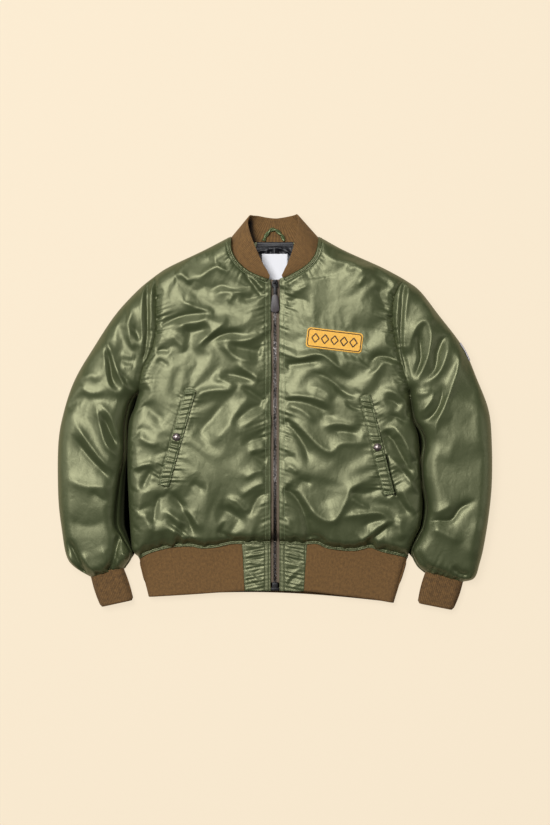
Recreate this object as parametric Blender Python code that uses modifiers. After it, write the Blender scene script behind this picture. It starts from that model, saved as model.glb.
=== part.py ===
"""Padded satin tanker jacket, zipped up and laid on its back on a flat surface.

Lengths are millimetres, turned to metres when a mesh is made. +X is the wearer's left,
+Y runs from the hem to the collar, +Z is up from the surface that the jacket lies on.
The upper cloth is one height field over the plan: a loft that rolls down to the surface at
every outline, dips at every seam and carries the largest folds. The lower cloth is the same
roll turned under. Each piece is a wall on that skin, over its own grid of points, and
neighbours share the points along their seam, drawn back by half the seam gap.
"""

import math

import bmesh
import bpy
from mathutils import Matrix, Vector
from mathutils.bvhtree import BVHTree

MM = 0.001
MERGE = 0.00005

PADDED_WALL = 3.0
RIB_WALL = 2.6
LINING_WALL = 1.0
SEAM_GAP = 0.3
LAID_GAP = 0.4

BODY_LOFT = 54.0
RIB_LOFT = 23.0
CUFF_LOFT = 27.0
EDGE_SHARE = 0.42
ROLL_SHARE = 0.8

ZIP_HALF_GAP = 8.5
HEM_BLOCK_WIDTH = 53.3
FOLD_MARGIN = 28.0

# Points inside the pieces, in X for the wearer's left: they say which way is inwards at an outline.
FRONT_MIDDLE_X = 130.0
SLEEVE_MIDDLE_X = 390.0
CHEST_MIDDLE_Y = 150.0
HEM_MIDDLE_Y = -300.0

# Outlines of each half, seen from above. "right" and "left" are the wearer's.
# side: hem rib bottom to armpit. armhole: armpit to shoulder point. shoulder: neck to shoulder point.
OUTLINES = {
    "right": {
        "side": [(-240.5, -350.5), (-250, -301), (-254, -287), (-259, -275), (-268, -266), (-272.5, -252),
                 (-277, -185), (-280, -100), (-278, -25), (-266, 12), (-258.5, 39)],
        "hem": [(-8.5, -246), (-62, -246), (-134, -246), (-200, -252), (-240, -264), (-259, -275)],
        "hem_edge": [(-8.5, -339), (-62, -339), (-150, -345), (-240.5, -350.5)],
        "armhole": [(-258.5, 39), (-250, 82), (-234, 115), (-225, 153), (-225, 195), (-226, 235),
                    (-227, 259.5)],
        "neck": [(-12, 251.5), (-47.5, 267), (-69.5, 286), (-81.5, 308.5), (-84, 334)],
        "shoulder": [(-84, 334), (-136, 307), (-200, 276.5), (-227, 259.5)],
        "sleeve_outer": [(-227, 259.5), (-261, 231), (-303, 185), (-343, 124.5), (-379, 63.5), (-400, 3),
                         (-411, -60), (-411, -160), (-404, -225), (-396, -271), (-382, -292),
                         (-350.5, -312.5)],
        "sleeve_inner": [(-258.5, 39), (-275, 22), (-285, -22), (-286.5, -83), (-296, -130), (-303, -205),
                         (-293, -232), (-276, -262), (-276, -277), (-288, -295.5)],
        "cuff": [(-331.5, -369.5), (-269, -356)],
    },
    "left": {
        "side": [(226, -362), (242, -301), (248, -284), (253, -273), (259, -253), (269, -231), (276, -214),
                 (280, -175), (275, -94), (272, -45), (261, -10), (255.5, 39)],
        "hem": [(8.5, -246), (62, -246), (103, -253), (151, -250), (198, -261), (253, -273)],
        "hem_edge": [(8.5, -339), (62, -340), (123, -347), (179, -354), (226, -362)],
        "armhole": [(255.5, 39), (236.5, 98), (226, 143), (221.5, 180), (226, 221), (244, 253.5)],
        "neck": [(15, 253), (54, 275.5), (73, 295.5), (80, 314.5), (83, 334)],
        "shoulder": [(83, 334), (132, 307), (200, 276.5), (244, 253.5)],
        "sleeve_outer": [(244, 253.5), (274.5, 231), (310.5, 185), (356, 124.5), (383, 63.5), (405.5, 3),
                         (411.3, -60), (411.3, -134), (405.5, -195), (396, -255), (388.5, -286), (379, -314),
                         (358, -322)],
        "sleeve_inner": [(255.5, 39), (265, -12), (279, -35), (285, -60), (279, -94), (281, -130),
                         (289, -176), (284, -214), (276, -232), (264, -254), (262, -268), (272, -290),
                         (286, -303)],
        "cuff": [(339, -375.3), (271, -362)],
    },
}

# Steps from a rolled edge or a seam, as shares of the roll's reach: they space the facets evenly round it.
ROLL_STEPS = (0.0, 0.134, 0.5, 1.0)
ROLL_COLUMNS = len(ROLL_STEPS) - 1
SIDE_ROWS = 9
ARMHOLE_ROWS = 5
NECK_ROWS = 3
BLOCK_COLUMNS = 3
FRONT_COLUMNS = 9
BACK_SIDE_COLUMNS = 3
BACK_NECK_COLUMNS = 3
SLEEVE_ROWS = 16
ARMHOLE_INTERVALS = ARMHOLE_ROWS + 2 * ROLL_COLUMNS
# Rows of a sleeve close up towards the armpit, and keep the armhole's bow over its first part.
INNER_ROW_POWER = 1.35
BOW_REACH = 0.45
CURVE_STEPS = 6
SEAM_REACH = 40.0
LONGEST_REACH_SHARE = 0.4
SHOULDER_ROWS = 4
HEM_REACH_SHARES = (0.46, 0.7, 0.92)
# Rows of the knitted bands, and of the hem blocks and the collar, from seam to edge.
BAND_STEPS = (0.0, 0.5, 1.0)
BLOCK_STEPS = (0.0, 0.34, 0.67, 1.0)
ON_EDGE = 0.2

# Dips in the upper cloth along its seams: how deep, and how far from the seam the cloth is still falling.
DIPS = {
    "hem": {"depth": BODY_LOFT - RIB_LOFT, "reach": 42.0},
    "armhole": {"depth": 11.0, "reach": 20.0},
    "neck": {"depth": 7.0, "reach": 16.0},
    "zip": {"depth": 9.0, "reach": 75.0},
    "cuff": {"depth": BODY_LOFT - CUFF_LOFT, "reach": 46.0},
}

# The largest folds in the upper cloth: a line from one end to the other, a height (a trough is
# negative), and the half width of the fold.
FOLDS = [
    {"name": "right chest sweep", "start": (-205, 215), "end": (-90, 150), "height": 9, "half": 15},
    {"name": "right chest lower", "start": (-190, 150), "end": (-70, 95), "height": 8, "half": 16},
    {"name": "right chest hollow", "start": (-200, 185), "end": (-70, 125), "height": -8, "half": 14},
    {"name": "right waist", "start": (-235, -150), "end": (-150, -205), "height": 7, "half": 15},
    {"name": "right pocket hollow", "start": (-125, 30), "end": (-60, -60), "height": -6, "half": 18},
    {"name": "left chest sweep", "start": (35, 165), "end": (120, 90), "height": 6, "half": 16},
    {"name": "left armpit", "start": (235, 20), "end": (160, 80), "height": 8, "half": 15},
    {"name": "left waist trough", "start": (205, -20), "end": (250, -130), "height": -9, "half": 15},
    {"name": "left waist swell", "start": (25, -60), "end": (60, -200), "height": 6, "half": 20},
    {"name": "right sleeve ridge", "start": (-285, 160), "end": (-330, 20), "height": 9, "half": 15},
    {"name": "right sleeve trough", "start": (-320, 130), "end": (-365, 0), "height": -7, "half": 14},
    {"name": "right elbow ridge", "start": (-330, -10), "end": (-385, -140), "height": 8, "half": 15},
    {"name": "left sleeve ridge", "start": (270, 175), "end": (325, 20), "height": 9, "half": 15},
    {"name": "left sleeve trough", "start": (300, 140), "end": (350, 10), "height": -7, "half": 14},
    {"name": "left elbow crease", "start": (290, -165), "end": (385, -185), "height": -8, "half": 13},
]

# Collar rib, from the neck corner to the zip and from the neck corner to the middle of the back.
# edge: its free edge. rise: height of its outer face there. turn: which way that face looks, in degrees
# above level, where 90 is up and -90 is down to the surface.
COLLAR_FRONT = {
    "right": [
        {"edge": (-48, 374.5), "rise": 25, "turn": 0},
        {"edge": (-52, 363), "rise": 38, "turn": 40},
        {"edge": (-49.5, 344), "rise": 47, "turn": 72},
        {"edge": (-42, 321), "rise": 51, "turn": 90},
        {"edge": (-34.5, 302), "rise": 51, "turn": 90},
        {"edge": (-24, 281.5), "rise": 50, "turn": 90},
        {"edge": (-10, 256.5), "rise": 48, "turn": 90},
    ],
    "left": [
        {"edge": (43, 375.3), "rise": 25, "turn": 0},
        {"edge": (45.5, 364), "rise": 38, "turn": 40},
        {"edge": (43, 347), "rise": 47, "turn": 72},
        {"edge": (39, 326), "rise": 51, "turn": 90},
        {"edge": (33, 303), "rise": 51, "turn": 90},
        {"edge": (25, 282.5), "rise": 50, "turn": 90},
        {"edge": (13, 257.5), "rise": 48, "turn": 90},
    ],
}
COLLAR_BACK = {
    "right": [
        {"edge": (-33, 374), "rise": 5, "turn": -70},
        {"edge": (-17, 371), "rise": 0.4, "turn": -90},
    ],
    "left": [
        {"edge": (32, 374), "rise": 5, "turn": -70},
        {"edge": (17, 371), "rise": 0.4, "turn": -90},
    ],
}
COLLAR_BACK_MIDDLE = {"edge": (1, 369), "rise": 0.4, "turn": -90}
# The level way that the collar's outer face looks at the neck corner, on the wearer's left.
COLLAR_OUT = (0.74, 0.67)
BACK_NECK_Y = 325.5
BACK_HEM_Y = -343.0

SIGN = {"right": -1.0, "left": 1.0}
UP = Vector((0, 0, 1))

# Hand pockets: the welt's ends and its snap.
WELTS = {
    "right": {"top": (-158.5, 44.5), "bottom": (-210, -138), "snap": (-185.5, -46.5)},
    "left": {"top": (170, 31.5), "bottom": (215.5, -155), "snap": (193, -65.5)},
}
WELT_WIDTH = 21.0
WELT_WALL = 1.4
WELT_COLUMNS = 11
WELT_ROWS = 2
SNAP_RADIUS = 7.9
SNAP_HEIGHT = 3.2
SNAP_SIDES = 20
SNAP_PROFILE = [
    {"radius": 0.0, "height": 1.0},
    {"radius": 0.45, "height": 0.9},
    {"radius": 0.8, "height": 0.6},
    {"radius": 1.0, "height": 0.2},
    {"radius": 1.0, "height": 0.0},
    {"radius": 0.0, "height": 0.0},
]

CHEST_PATCH = {"centre": (112, 136), "angle": -7, "length": 106, "width": 38, "corner": (4, 1.4),
               "columns": 8, "rows": 4}
PATCH_WALL = 1.2
SLEEVE_PATCH_TOP = 134.0
SLEEVE_PATCH_HEIGHT = 38.0
SLEEVE_PATCH_ROWS = 4
SLEEVE_PATCH_PROUD = 0.8
SLEEVE_PATCH_STEPS = ((0.22, True), (0.134, True), (0.0, True), (0.134, False), (0.34, False))

LINING_DEPTH = 84.0
LINING_TOP_HALF = 34.0
LINING_BOTTOM_HALF = 58.0
LINING_HALF_COLUMNS = 3
LABEL_TOP_Y = 302.0
LABEL_WIDTH = 48.0
LABEL_HEIGHT = 56.0
LABEL_WALL = 0.8
LOOP_POINTS = [(-21, 327), (-18, 335), (-10, 345), (-4, 349), (4, 346), (13, 336), (18, 327)]
LOOP_RADIUS = 2.0
LOOP_Z = 5.6

# The zip. Its tapes lie just under the fronts' edges, and the chain stands proud of them.
TAPE_WALL = 1.0
TAPE_DROP = PADDED_WALL + 0.4
TAPE_TUCK = 6.0
FLY_REACH = 5.0
CHAIN_HALF_WIDTH = 2.7
CHAIN_PROUD = 2.2
ZIP_BOTTOM = -338.5
BOX_LENGTH = 16.0
BOX_PROUD = 0.8
BOX_EASE = 1.0
SLIDER_BOTTOM = 235.0
SLIDER_TOP = 250.0
SLIDER_WIDTH = 11.0
SLIDER_WEB = 4.8
SLIDER_UNDER = 1.2
SLIDER_EASE = 0.6
SLIDER_BITE = 0.01
LUG_SINK = 1.0
LUG_OVER_BAR = 0.5
PULL_AXIS_Y = 244.0
PULL_AXIS_Z = 53.2
BAR_RADIUS = 0.9
LUG_GAP = 4.2
LUG_WALL = 1.6
LUG_LENGTH = 4.0
EYE_RADIUS = 2.1
LINK_WALL = 1.4
LINK_EYE_WIDTH = 3.4
LINK_WIDTH = 6.0
LINK_LENGTH = 27.0
LINK_SHOULDER = 3.6
NECK_WIDTH = 3.0
NECK_WALL = 1.2
TONGUE = 6.0
TAB_WIDTH = 16.5
TAB_LENGTH = 35.0
TAB_WALL = 2.8
TAB_CORNER = 5.0
PULL_DROOP = 1.5


def remove_all():
    """Clears the scene of the objects that a new file opens with."""
    for old in list(bpy.data.objects):
        bpy.data.objects.remove(old, do_unlink=True)


def material(name, colour, roughness, metallic=0.0):
    """A Principled material of one linear colour."""
    made = bpy.data.materials.new(name)
    made.use_nodes = True
    shader = made.node_tree.nodes["Principled BSDF"]
    shader.inputs["Base Color"].default_value = (*colour, 1.0)
    shader.inputs["Roughness"].default_value = roughness
    shader.inputs["Metallic"].default_value = metallic
    return made


def smooth_curve(points, steps=CURVE_STEPS):
    """A finer run of points on a Catmull-Rom curve through the given ones."""
    knots = [Vector(p) for p in points]
    ends = [2 * knots[0] - knots[1]] + knots + [2 * knots[-1] - knots[-2]]
    run = []
    for a, b, c, d in zip(ends, ends[1:], ends[2:], ends[3:]):
        for step in range(steps):
            t = step / steps
            run.append(0.5 * (2 * b + (c - a) * t + (2 * a - 5 * b + 4 * c - d) * t * t
                              + (3 * b - a - 3 * c + d) * t ** 3))
    run.append(knots[-1])
    return run


def run_length(run):
    return sum((b - a).length for a, b in zip(run, run[1:]))


def point_along(run, distance):
    """The point at a distance along a run of points."""
    for a, b in zip(run, run[1:]):
        step = (b - a).length
        if distance <= step:
            return a.lerp(b, distance / step)
        distance -= step
    return run[-1].copy()


def spaced(length, middle, reach_start=0.0, reach_end=0.0):
    """Distances along a length: roll steps at an end that has a reach, and even steps between."""
    reach_start = min(reach_start, LONGEST_REACH_SHARE * length)
    reach_end = min(reach_end, LONGEST_REACH_SHARE * length)
    first = [reach_start * step for step in ROLL_STEPS[:-1]] if reach_start else []
    last = [length - reach_end * step for step in reversed(ROLL_STEPS[:-1])] if reach_end else []
    even = (length - reach_start - reach_end) / middle
    return first + [reach_start + even * i for i in range(middle + 1)] + last


def samples(points, middle, reach_start=0.0, reach_end=0.0):
    """Points on the smooth curve through a few points, spaced as above."""
    run = smooth_curve(points)
    return [point_along(run, d) for d in spaced(run_length(run), middle, reach_start, reach_end)]


def segments(*runs):
    return [(a, b - a) for run in runs for a, b in zip(run, run[1:])]


def nearest(parts, point):
    """Distance from a point to the nearest of some segments, the point on it and its direction."""
    best, where, along = 1e9, None, None
    for a, span in parts:
        t = max(0.0, min(1.0, (point - a).dot(span) / span.length_squared))
        foot = a + span * t
        away = (point - foot).length_squared
        if away < best:
            best, where, along = away, foot, span
    return math.sqrt(best), where, along.normalized()


def rounded(t):
    """A quarter circle: 0 at the edge, 1 from a full reach inwards."""
    t = max(0.0, min(1.0, t))
    return math.sqrt(1 - (1 - t) ** 2)


def eased(t):
    t = max(0.0, min(1.0, t))
    return t * t * (3 - 2 * t)


CURVES = {half: {key: smooth_curve(points) for key, points in lines.items() if key != "cuff"}
          for half, lines in OUTLINES.items()}


def cuff_line(half, key):
    """The cuff's outer (0) or inner (1) side, from its seam to its end."""
    seam = OUTLINES[half]["sleeve_outer" if key == 0 else "sleeve_inner"][-1]
    return [Vector(seam), Vector(OUTLINES[half]["cuff"][key])]


ROLLED = {
    half: segments(CURVES[half]["side"], CURVES[half]["shoulder"], CURVES[half]["sleeve_outer"],
                   CURVES[half]["sleeve_inner"], cuff_line(half, 0), cuff_line(half, 1))
    for half in OUTLINES
}
ZIP_LINE = [Vector((0, OUTLINES["left"]["hem"][0][1])), Vector((0, OUTLINES["left"]["neck"][0][1]))]
SEAMS = {
    half: {
        "hem": segments(CURVES[half]["hem"]),
        "armhole": segments(CURVES[half]["armhole"]),
        "neck": segments(CURVES[half]["neck"]),
        "zip": segments(ZIP_LINE),
        "cuff": segments([Vector(OUTLINES[half][key][-1]) for key in ("sleeve_outer", "sleeve_inner")]),
    }
    for half in OUTLINES
}
PANEL_SEAMS = {"body": ("hem", "armhole", "neck", "zip"), "sleeve": ("armhole", "cuff")}


def fold_height(point):
    """Sum of the folds at a point of the plan."""
    total = 0.0
    for fold in FOLDS:
        start = Vector(fold["start"])
        span = Vector(fold["end"]) - start
        along = (point - start).dot(span) / span.length_squared
        foot = start + span * max(0.0, min(1.0, along))
        fade = math.sin(math.pi * max(0.0, min(1.0, along))) ** 0.5
        total += fold["height"] * fade * math.exp(-((point - foot).length / fold["half"]) ** 2)
    return total


def loft_at(half, kind, point):
    """Height of the upper cloth before it rolls off, and how far the nearest seam is."""
    if kind == "rib":
        return RIB_LOFT, 0.0
    if kind == "cuff":
        return CUFF_LOFT, 0.0
    deepest = 0.0
    seam_distance = 1e9
    for key in PANEL_SEAMS[kind]:
        distance = nearest(SEAMS[half][key], point)[0]
        deepest = max(deepest, DIPS[key]["depth"] * (1 - rounded(distance / DIPS[key]["reach"])))
        seam_distance = min(seam_distance, distance)
    return BODY_LOFT - deepest, seam_distance


def skin(half, kind, point, inward, upper=True):
    """Outer face of the cloth at a point of the plan, and the way it looks out.
    inward is a point further inside the piece, for a point that is on its rolled edge."""
    loft, seam_distance = loft_at(half, kind, point)
    edge_distance, foot, along = nearest(ROLLED[half], point)
    share = rounded(edge_distance / (ROLL_SHARE * loft))
    level = 1 - min(1.0, edge_distance / (ROLL_SHARE * loft))
    if edge_distance > ON_EDGE:
        away = (foot - point).normalized()
    else:
        square = Vector((-along.y, along.x))
        away = square if square.dot(foot - inward) > 0 else -square
    rim = EDGE_SHARE * loft
    if upper:
        height = rim + (loft - rim) * share + level * SEAM_GAP / 2
        height += fold_height(point) * eased(min(seam_distance, edge_distance) / FOLD_MARGIN)
    else:
        height = rim * (1 - share) - level * SEAM_GAP / 2
    look = Vector((away.x * level, away.y * level, share if upper else -share)).normalized()
    return Vector((point.x, point.y, height)), look


def squared_to(run, cloth):
    """Cloth points along a seam, with their walls turned to lie in the seam's own upright plane.
    An end that stands on edge looks straight out past the end of the seam."""
    turned = []
    last = len(run) - 1
    for i, (point, look) in enumerate(cloth):
        along = (run[min(i + 1, last)] - run[max(i - 1, 0)]).normalized()
        level = along * (look.x * along.x + look.y * along.y)
        if i in (0, last) and abs(look.z) < ON_EDGE:
            level = along if i == last else -along
        turned.append((point, Vector((level.x, level.y, look.z)).normalized()))
    return turned


def wall(name, rows, thickness, finish, closed=False):
    """A closed wall on a grid of (outer point, outward direction), as thick as given.
    closed joins the last column to the first, for a tube."""
    mesh = bpy.data.meshes.new(name)
    bm = bmesh.new()
    outer = [[bm.verts.new(p * MM) for p, _ in row] for row in rows]
    inner = [[bm.verts.new((p - look * thickness) * MM) for p, look in row] for row in rows]
    count = len(rows[0])
    spans = [(j, (j + 1) % count) for j in range(count if closed else count - 1)]
    for i in range(len(rows) - 1):
        for j, k in spans:
            bm.faces.new((outer[i][j], outer[i][k], outer[i + 1][k], outer[i + 1][j]))
            bm.faces.new((inner[i][j], inner[i + 1][j], inner[i + 1][k], inner[i][k]))
    for i in (0, len(rows) - 1):
        for j, k in spans:
            bm.faces.new((outer[i][j], inner[i][j], inner[i][k], outer[i][k]))
    if not closed:
        for j in (0, count - 1):
            for i in range(len(rows) - 1):
                bm.faces.new((outer[i][j], outer[i + 1][j], inner[i + 1][j], inner[i][j]))
    bmesh.ops.recalc_face_normals(bm, faces=bm.faces)
    bmesh.ops.triangulate(bm, faces=bm.faces)
    bm.to_mesh(mesh)
    bm.free()
    return add_piece(name, mesh, finish)


def add_piece(name, mesh, finish):
    piece = bpy.data.objects.new(name, mesh)
    mesh.materials.append(finish)
    COLLECTION.objects.link(piece)
    return piece


def drawn_back(run, towards, amount=SEAM_GAP / 2):
    """A run of seam points, each moved square to the seam, towards a point inside the piece."""
    moved = []
    for i, point in enumerate(run):
        along = run[min(i + 1, len(run) - 1)] - run[max(i - 1, 0)]
        square = Vector((-along.y, along.x)).normalized()
        side = 1 if square.dot(towards - point) > 0 else -1
        moved.append(point + square * side * amount)
    return moved


def armhole_run(half):
    """Seam points from the armpit to the shoulder point."""
    return samples(OUTLINES[half]["armhole"], ARMHOLE_ROWS, SEAM_REACH, SEAM_REACH)


def side_run(half):
    """Points on the side edge from the hem seam up to the armpit."""
    run = CURVES[half]["side"]
    seam_end = Vector(OUTLINES[half]["hem"][-1])
    start = min(range(len(run)), key=lambda i: (run[i] - seam_end).length)
    above = run[start:]
    return [point_along(above, d) for d in spaced(run_length(above), SIDE_ROWS, SEAM_REACH)]


def neck_run(half):
    """Collar seam points from the zip up to the neck corner."""
    return samples(OUTLINES[half]["neck"], NECK_ROWS, 0.0, SEAM_REACH)


def hem_run(half):
    """Hem seam points from the zip to the side: hem block, rib, then the roll at the side."""
    run = CURVES[half]["hem"]
    length = run_length(run)
    rest = spaced(length - HEM_BLOCK_WIDTH, FRONT_COLUMNS, 0.0, SEAM_REACH * HEM_REACH_SHARES[0])
    block = [HEM_BLOCK_WIDTH * i / BLOCK_COLUMNS for i in range(BLOCK_COLUMNS)]
    return [point_along(run, d) for d in block + [HEM_BLOCK_WIDTH + d for d in rest]]


def sag(half, key, x):
    """How far a curved line, such as the hem seam, lies above the straight line between its ends."""
    run = CURVES[half][key]
    for a, b in zip(run, run[1:]):
        if min(a.x, b.x) <= x <= max(a.x, b.x):
            height = a.lerp(b, (x - a.x) / (b.x - a.x)).y
            chord = run[0].lerp(run[-1], (x - run[0].x) / (run[-1].x - run[0].x)).y
            return height - chord
    return 0.0


def row_between(half, start, end, reach, hem_share, shoulder_share):
    """One row of a front panel from the zip or collar to its outer edge, bowed like hem and shoulder."""
    length = (end - start).length
    rest = spaced(length - HEM_BLOCK_WIDTH, FRONT_COLUMNS, 0.0, reach)
    block = [HEM_BLOCK_WIDTH * i / BLOCK_COLUMNS for i in range(BLOCK_COLUMNS)]
    row = [start.lerp(end, d / length) for d in block + [HEM_BLOCK_WIDTH + d for d in rest]]
    return [bowed(half, point, hem_share, shoulder_share) for point in row]


def bowed(half, point, hem_share, shoulder_share):
    """A point of a straight row, moved by shares of the hem seam's bow and of the shoulder's."""
    lift = sag(half, "hem", point.x) * hem_share + sag(half, "shoulder", point.x) * shoulder_share
    return Vector((point.x, point.y + lift))


def front_plan(half):
    """Plan grid of a front, from the hem seam to the shoulder."""
    centre = Vector((0, 0))
    side = side_run(half)
    armhole = drawn_back(armhole_run(half), centre)
    outer = side + armhole[1:]
    zip_rows = len(outer) - 1 - (NECK_ROWS + ROLL_COLUMNS)
    neck = drawn_back(neck_run(half), Vector((SIGN[half] * FRONT_MIDDLE_X, CHEST_MIDDLE_Y)))
    zip_x = SIGN[half] * ZIP_HALF_GAP
    hem_y = OUTLINES[half]["hem"][0][1]
    fly = spaced(neck[0].y - hem_y, zip_rows - ROLL_COLUMNS, SEAM_REACH)
    inner = [Vector((zip_x, hem_y + d)) for d in fly[:-1]] + neck
    hem = drawn_back(hem_run(half), Vector((SIGN[half] * FRONT_MIDDLE_X, 0)))
    rows = [hem]
    for i in range(1, len(outer)):
        hem_share, shoulder_share = bow_shares(i, len(outer))
        reach = SEAM_REACH * (HEM_REACH_SHARES[i] if i < len(HEM_REACH_SHARES) else 1.0)
        rows.append(row_between(half, inner[i], outer[i], reach, hem_share, shoulder_share))
    return rows


def bow_shares(i, count):
    """How much of the hem's bow and of the shoulder's a row has, counted from the hem."""
    return max(0.0, 1 - i / SIDE_ROWS) ** 2, max(0.0, 1 - (count - 1 - i) / SHOULDER_ROWS)


def square_column(plan, rows, column, first):
    """Turns the walls of one column to lie along its seam, from a row to the top."""
    run = [row[column] for row in plan[first:]]
    turned = squared_to(run, [row[column] for row in rows[first:]])
    for row, cloth in zip(rows[first:], turned):
        row[column] = cloth


def front(half, finish):
    """A front panel: zip to side seam, hem to shoulder."""
    plan = front_plan(half)
    rows = [[skin(half, "body", point, row[0]) for point in row] for row in plan]
    rows[0] = squared_to(plan[0], rows[0])
    square_column(plan, rows, -1, -1 - ARMHOLE_INTERVALS)
    square_column(plan, rows, 0, -1 - NECK_ROWS - ROLL_COLUMNS)
    return wall("front_" + half, rows, PADDED_WALL, finish)


def back_plan():
    """Plan grid of the back, hem to shoulders, from the wearer's right side to the left."""
    outer = {half: side_run(half) + drawn_back(armhole_run(half), Vector((0, 0)))[1:] for half in SIGN}
    count = len(outer["left"])
    hem_y = OUTLINES["right"]["hem"][0][1]
    rows = []
    lengths = {}
    for half in SIGN:
        corner = Vector(OUTLINES[half]["neck"][-1])
        lengths[half] = spaced(corner.y - hem_y, count - 1 - 2 * ROLL_COLUMNS, SEAM_REACH, SEAM_REACH)
    middle = spaced(BACK_NECK_Y - hem_y, count - 1 - 2 * ROLL_COLUMNS, SEAM_REACH, SEAM_REACH)
    for i in range(count):
        halves = {}
        for half in SIGN:
            corner = Vector((OUTLINES[half]["neck"][-1][0], hem_y + lengths[half][i]))
            centre = Vector((0, hem_y + middle[i]))
            edge = outer[half][i]
            reach = SEAM_REACH * (HEM_REACH_SHARES[i] if i < len(HEM_REACH_SHARES) else 1.0)
            flank = [edge.lerp(corner, d / (corner - edge).length)
                     for d in spaced((corner - edge).length, BACK_SIDE_COLUMNS, reach)]
            flank = [bowed(half, point, 0.0, bow_shares(i, count)[1]) for point in flank]
            nape = [corner.lerp(centre, j / BACK_NECK_COLUMNS) for j in range(1, BACK_NECK_COLUMNS + 1)]
            halves[half] = flank + nape
        rows.append(halves["right"] + halves["left"][-2::-1])
    rows[0] = drawn_back(rows[0], Vector((0, 0)))
    return rows


def half_of(column, count):
    return "right" if column < count / 2 else "left"


def back(finish):
    """The back: one panel, flat where the jacket rests."""
    plan = back_plan()
    inside = Vector((0, 0))
    rows = []
    for line in plan:
        count = len(line)
        rows.append([skin(half_of(j, count), "body", point, inside, upper=False)
                     for j, point in enumerate(line)])
    rows[0] = squared_to(plan[0], rows[0])
    for column in (0, -1):
        square_column(plan, rows, column, -1 - ARMHOLE_INTERVALS)
    nape = slice(ROLL_COLUMNS + BACK_SIDE_COLUMNS, -(ROLL_COLUMNS + BACK_SIDE_COLUMNS))
    rows[-1][nape] = squared_to(plan[-1][nape], rows[-1][nape])
    return wall("back", rows, PADDED_WALL, finish)


def sleeve_plan(half):
    """Plan grid of a sleeve's upper cloth, armhole to cuff seam, outer edge to inner edge."""
    armhole = drawn_back(armhole_run(half), Vector((SIGN[half] * SLEEVE_MIDDLE_X, 0)))[::-1]
    outer_run = CURVES[half]["sleeve_outer"]
    inner_run = CURVES[half]["sleeve_inner"]
    outer_length = run_length(outer_run)
    inner_length = run_length(inner_run)
    chord = (armhole[-1] - armhole[0]).length
    first = spaced(chord, ARMHOLE_ROWS, SEAM_REACH, SEAM_REACH)
    bow = [p - armhole[0].lerp(armhole[-1], d / chord) for p, d in zip(armhole, first)]
    rows = [armhole]
    for i in range(1, SLEEVE_ROWS + 1):
        share = i / SLEEVE_ROWS
        outer = point_along(outer_run, outer_length * share)
        inner = point_along(inner_run, inner_length * share ** INNER_ROW_POWER)
        span = (inner - outer).length
        fade = 1 - eased(share / BOW_REACH)
        row = [outer.lerp(inner, d / span) for d in spaced(span, ARMHOLE_ROWS, SEAM_REACH, SEAM_REACH)]
        rows.append([p + b * fade for p, b in zip(row, bow)])
    return rows


def tube(half, kind, plan, seams):
    """Upper cloth over a plan grid and lower cloth back under it, as rings. seams are the rows at seams."""
    rings = []
    for i, row in enumerate(plan):
        middle = row[0].lerp(row[-1], 0.5)
        over = [skin(half, kind, point, middle) for point in row]
        under = [skin(half, kind, point, middle, upper=False) for point in row]
        if i in seams:
            over = squared_to(row, over)
            under = squared_to(row, under)
        for j in (0, -1):
            over[j] = ((over[j][0] + under[j][0]) / 2, over[j][1])
        rings.append(over + under[-2:0:-1])
    return rings


def sleeve(half, finish):
    plan = sleeve_plan(half)
    end = plan[-1]
    back_off = (plan[-2][0] - end[0]).normalized() * SEAM_GAP / 2
    plan[-1] = [p + back_off for p in end]
    rings = tube(half, "sleeve", plan, (0, len(plan) - 1))
    return wall("sleeve_" + half, rings, PADDED_WALL, finish, closed=True)


def cuff(half, finish):
    """The knitted cuff: a flattened tube from the sleeve's end."""
    outer = cuff_line(half, 0)
    inner = cuff_line(half, 1)
    start = (outer[1] - outer[0]).normalized() * SEAM_GAP / 2
    plan = []
    for share in BAND_STEPS:
        a = outer[0].lerp(outer[1], share) + start * (1 - share)
        b = inner[0].lerp(inner[1], share) + start * (1 - share)
        span = (b - a).length
        plan.append([a.lerp(b, d / span) for d in spaced(span, ARMHOLE_ROWS, SEAM_REACH, SEAM_REACH)])
    return wall("cuff_" + half, tube(half, "cuff", plan, (0,)), RIB_WALL, finish, closed=True)


def hem_edge_run(half, count):
    """Bottom edge of the hem from the zip to the side, spaced like the seam above it."""
    seam = hem_run(half)
    run = CURVES[half]["hem_edge"]
    length = run_length(run)
    total = run_length(seam)
    gone, shares = 0.0, [0.0]
    for a, b in zip(seam, seam[1:]):
        gone += (b - a).length
        shares.append(gone / total)
    return [point_along(run, length * share) for share in shares[:count]]


def hem_rows(half, first, last, steps=BAND_STEPS):
    """Plan rows of the hem between two of the seam's columns, seam to bottom edge."""
    seam = drawn_back(hem_run(half), Vector((SIGN[half] * FRONT_MIDDLE_X, HEM_MIDDLE_Y)))
    edge = hem_edge_run(half, len(seam))
    return [[seam[j].lerp(edge[j], step) for j in range(first, last + 1)] for step in steps]


def hem_block(half, finish):
    """The satin block that finishes the hem beside the zip."""
    plan = hem_rows(half, 0, BLOCK_COLUMNS, BLOCK_STEPS)
    inside = Vector((SIGN[half] * FRONT_MIDDLE_X, HEM_MIDDLE_Y))
    rows = [[skin(half, "rib", point, inside) for point in row] for row in plan]
    rows[0] = squared_to(plan[0], rows[0])
    return wall("hem_block_" + half, rows, RIB_WALL, finish)


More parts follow.
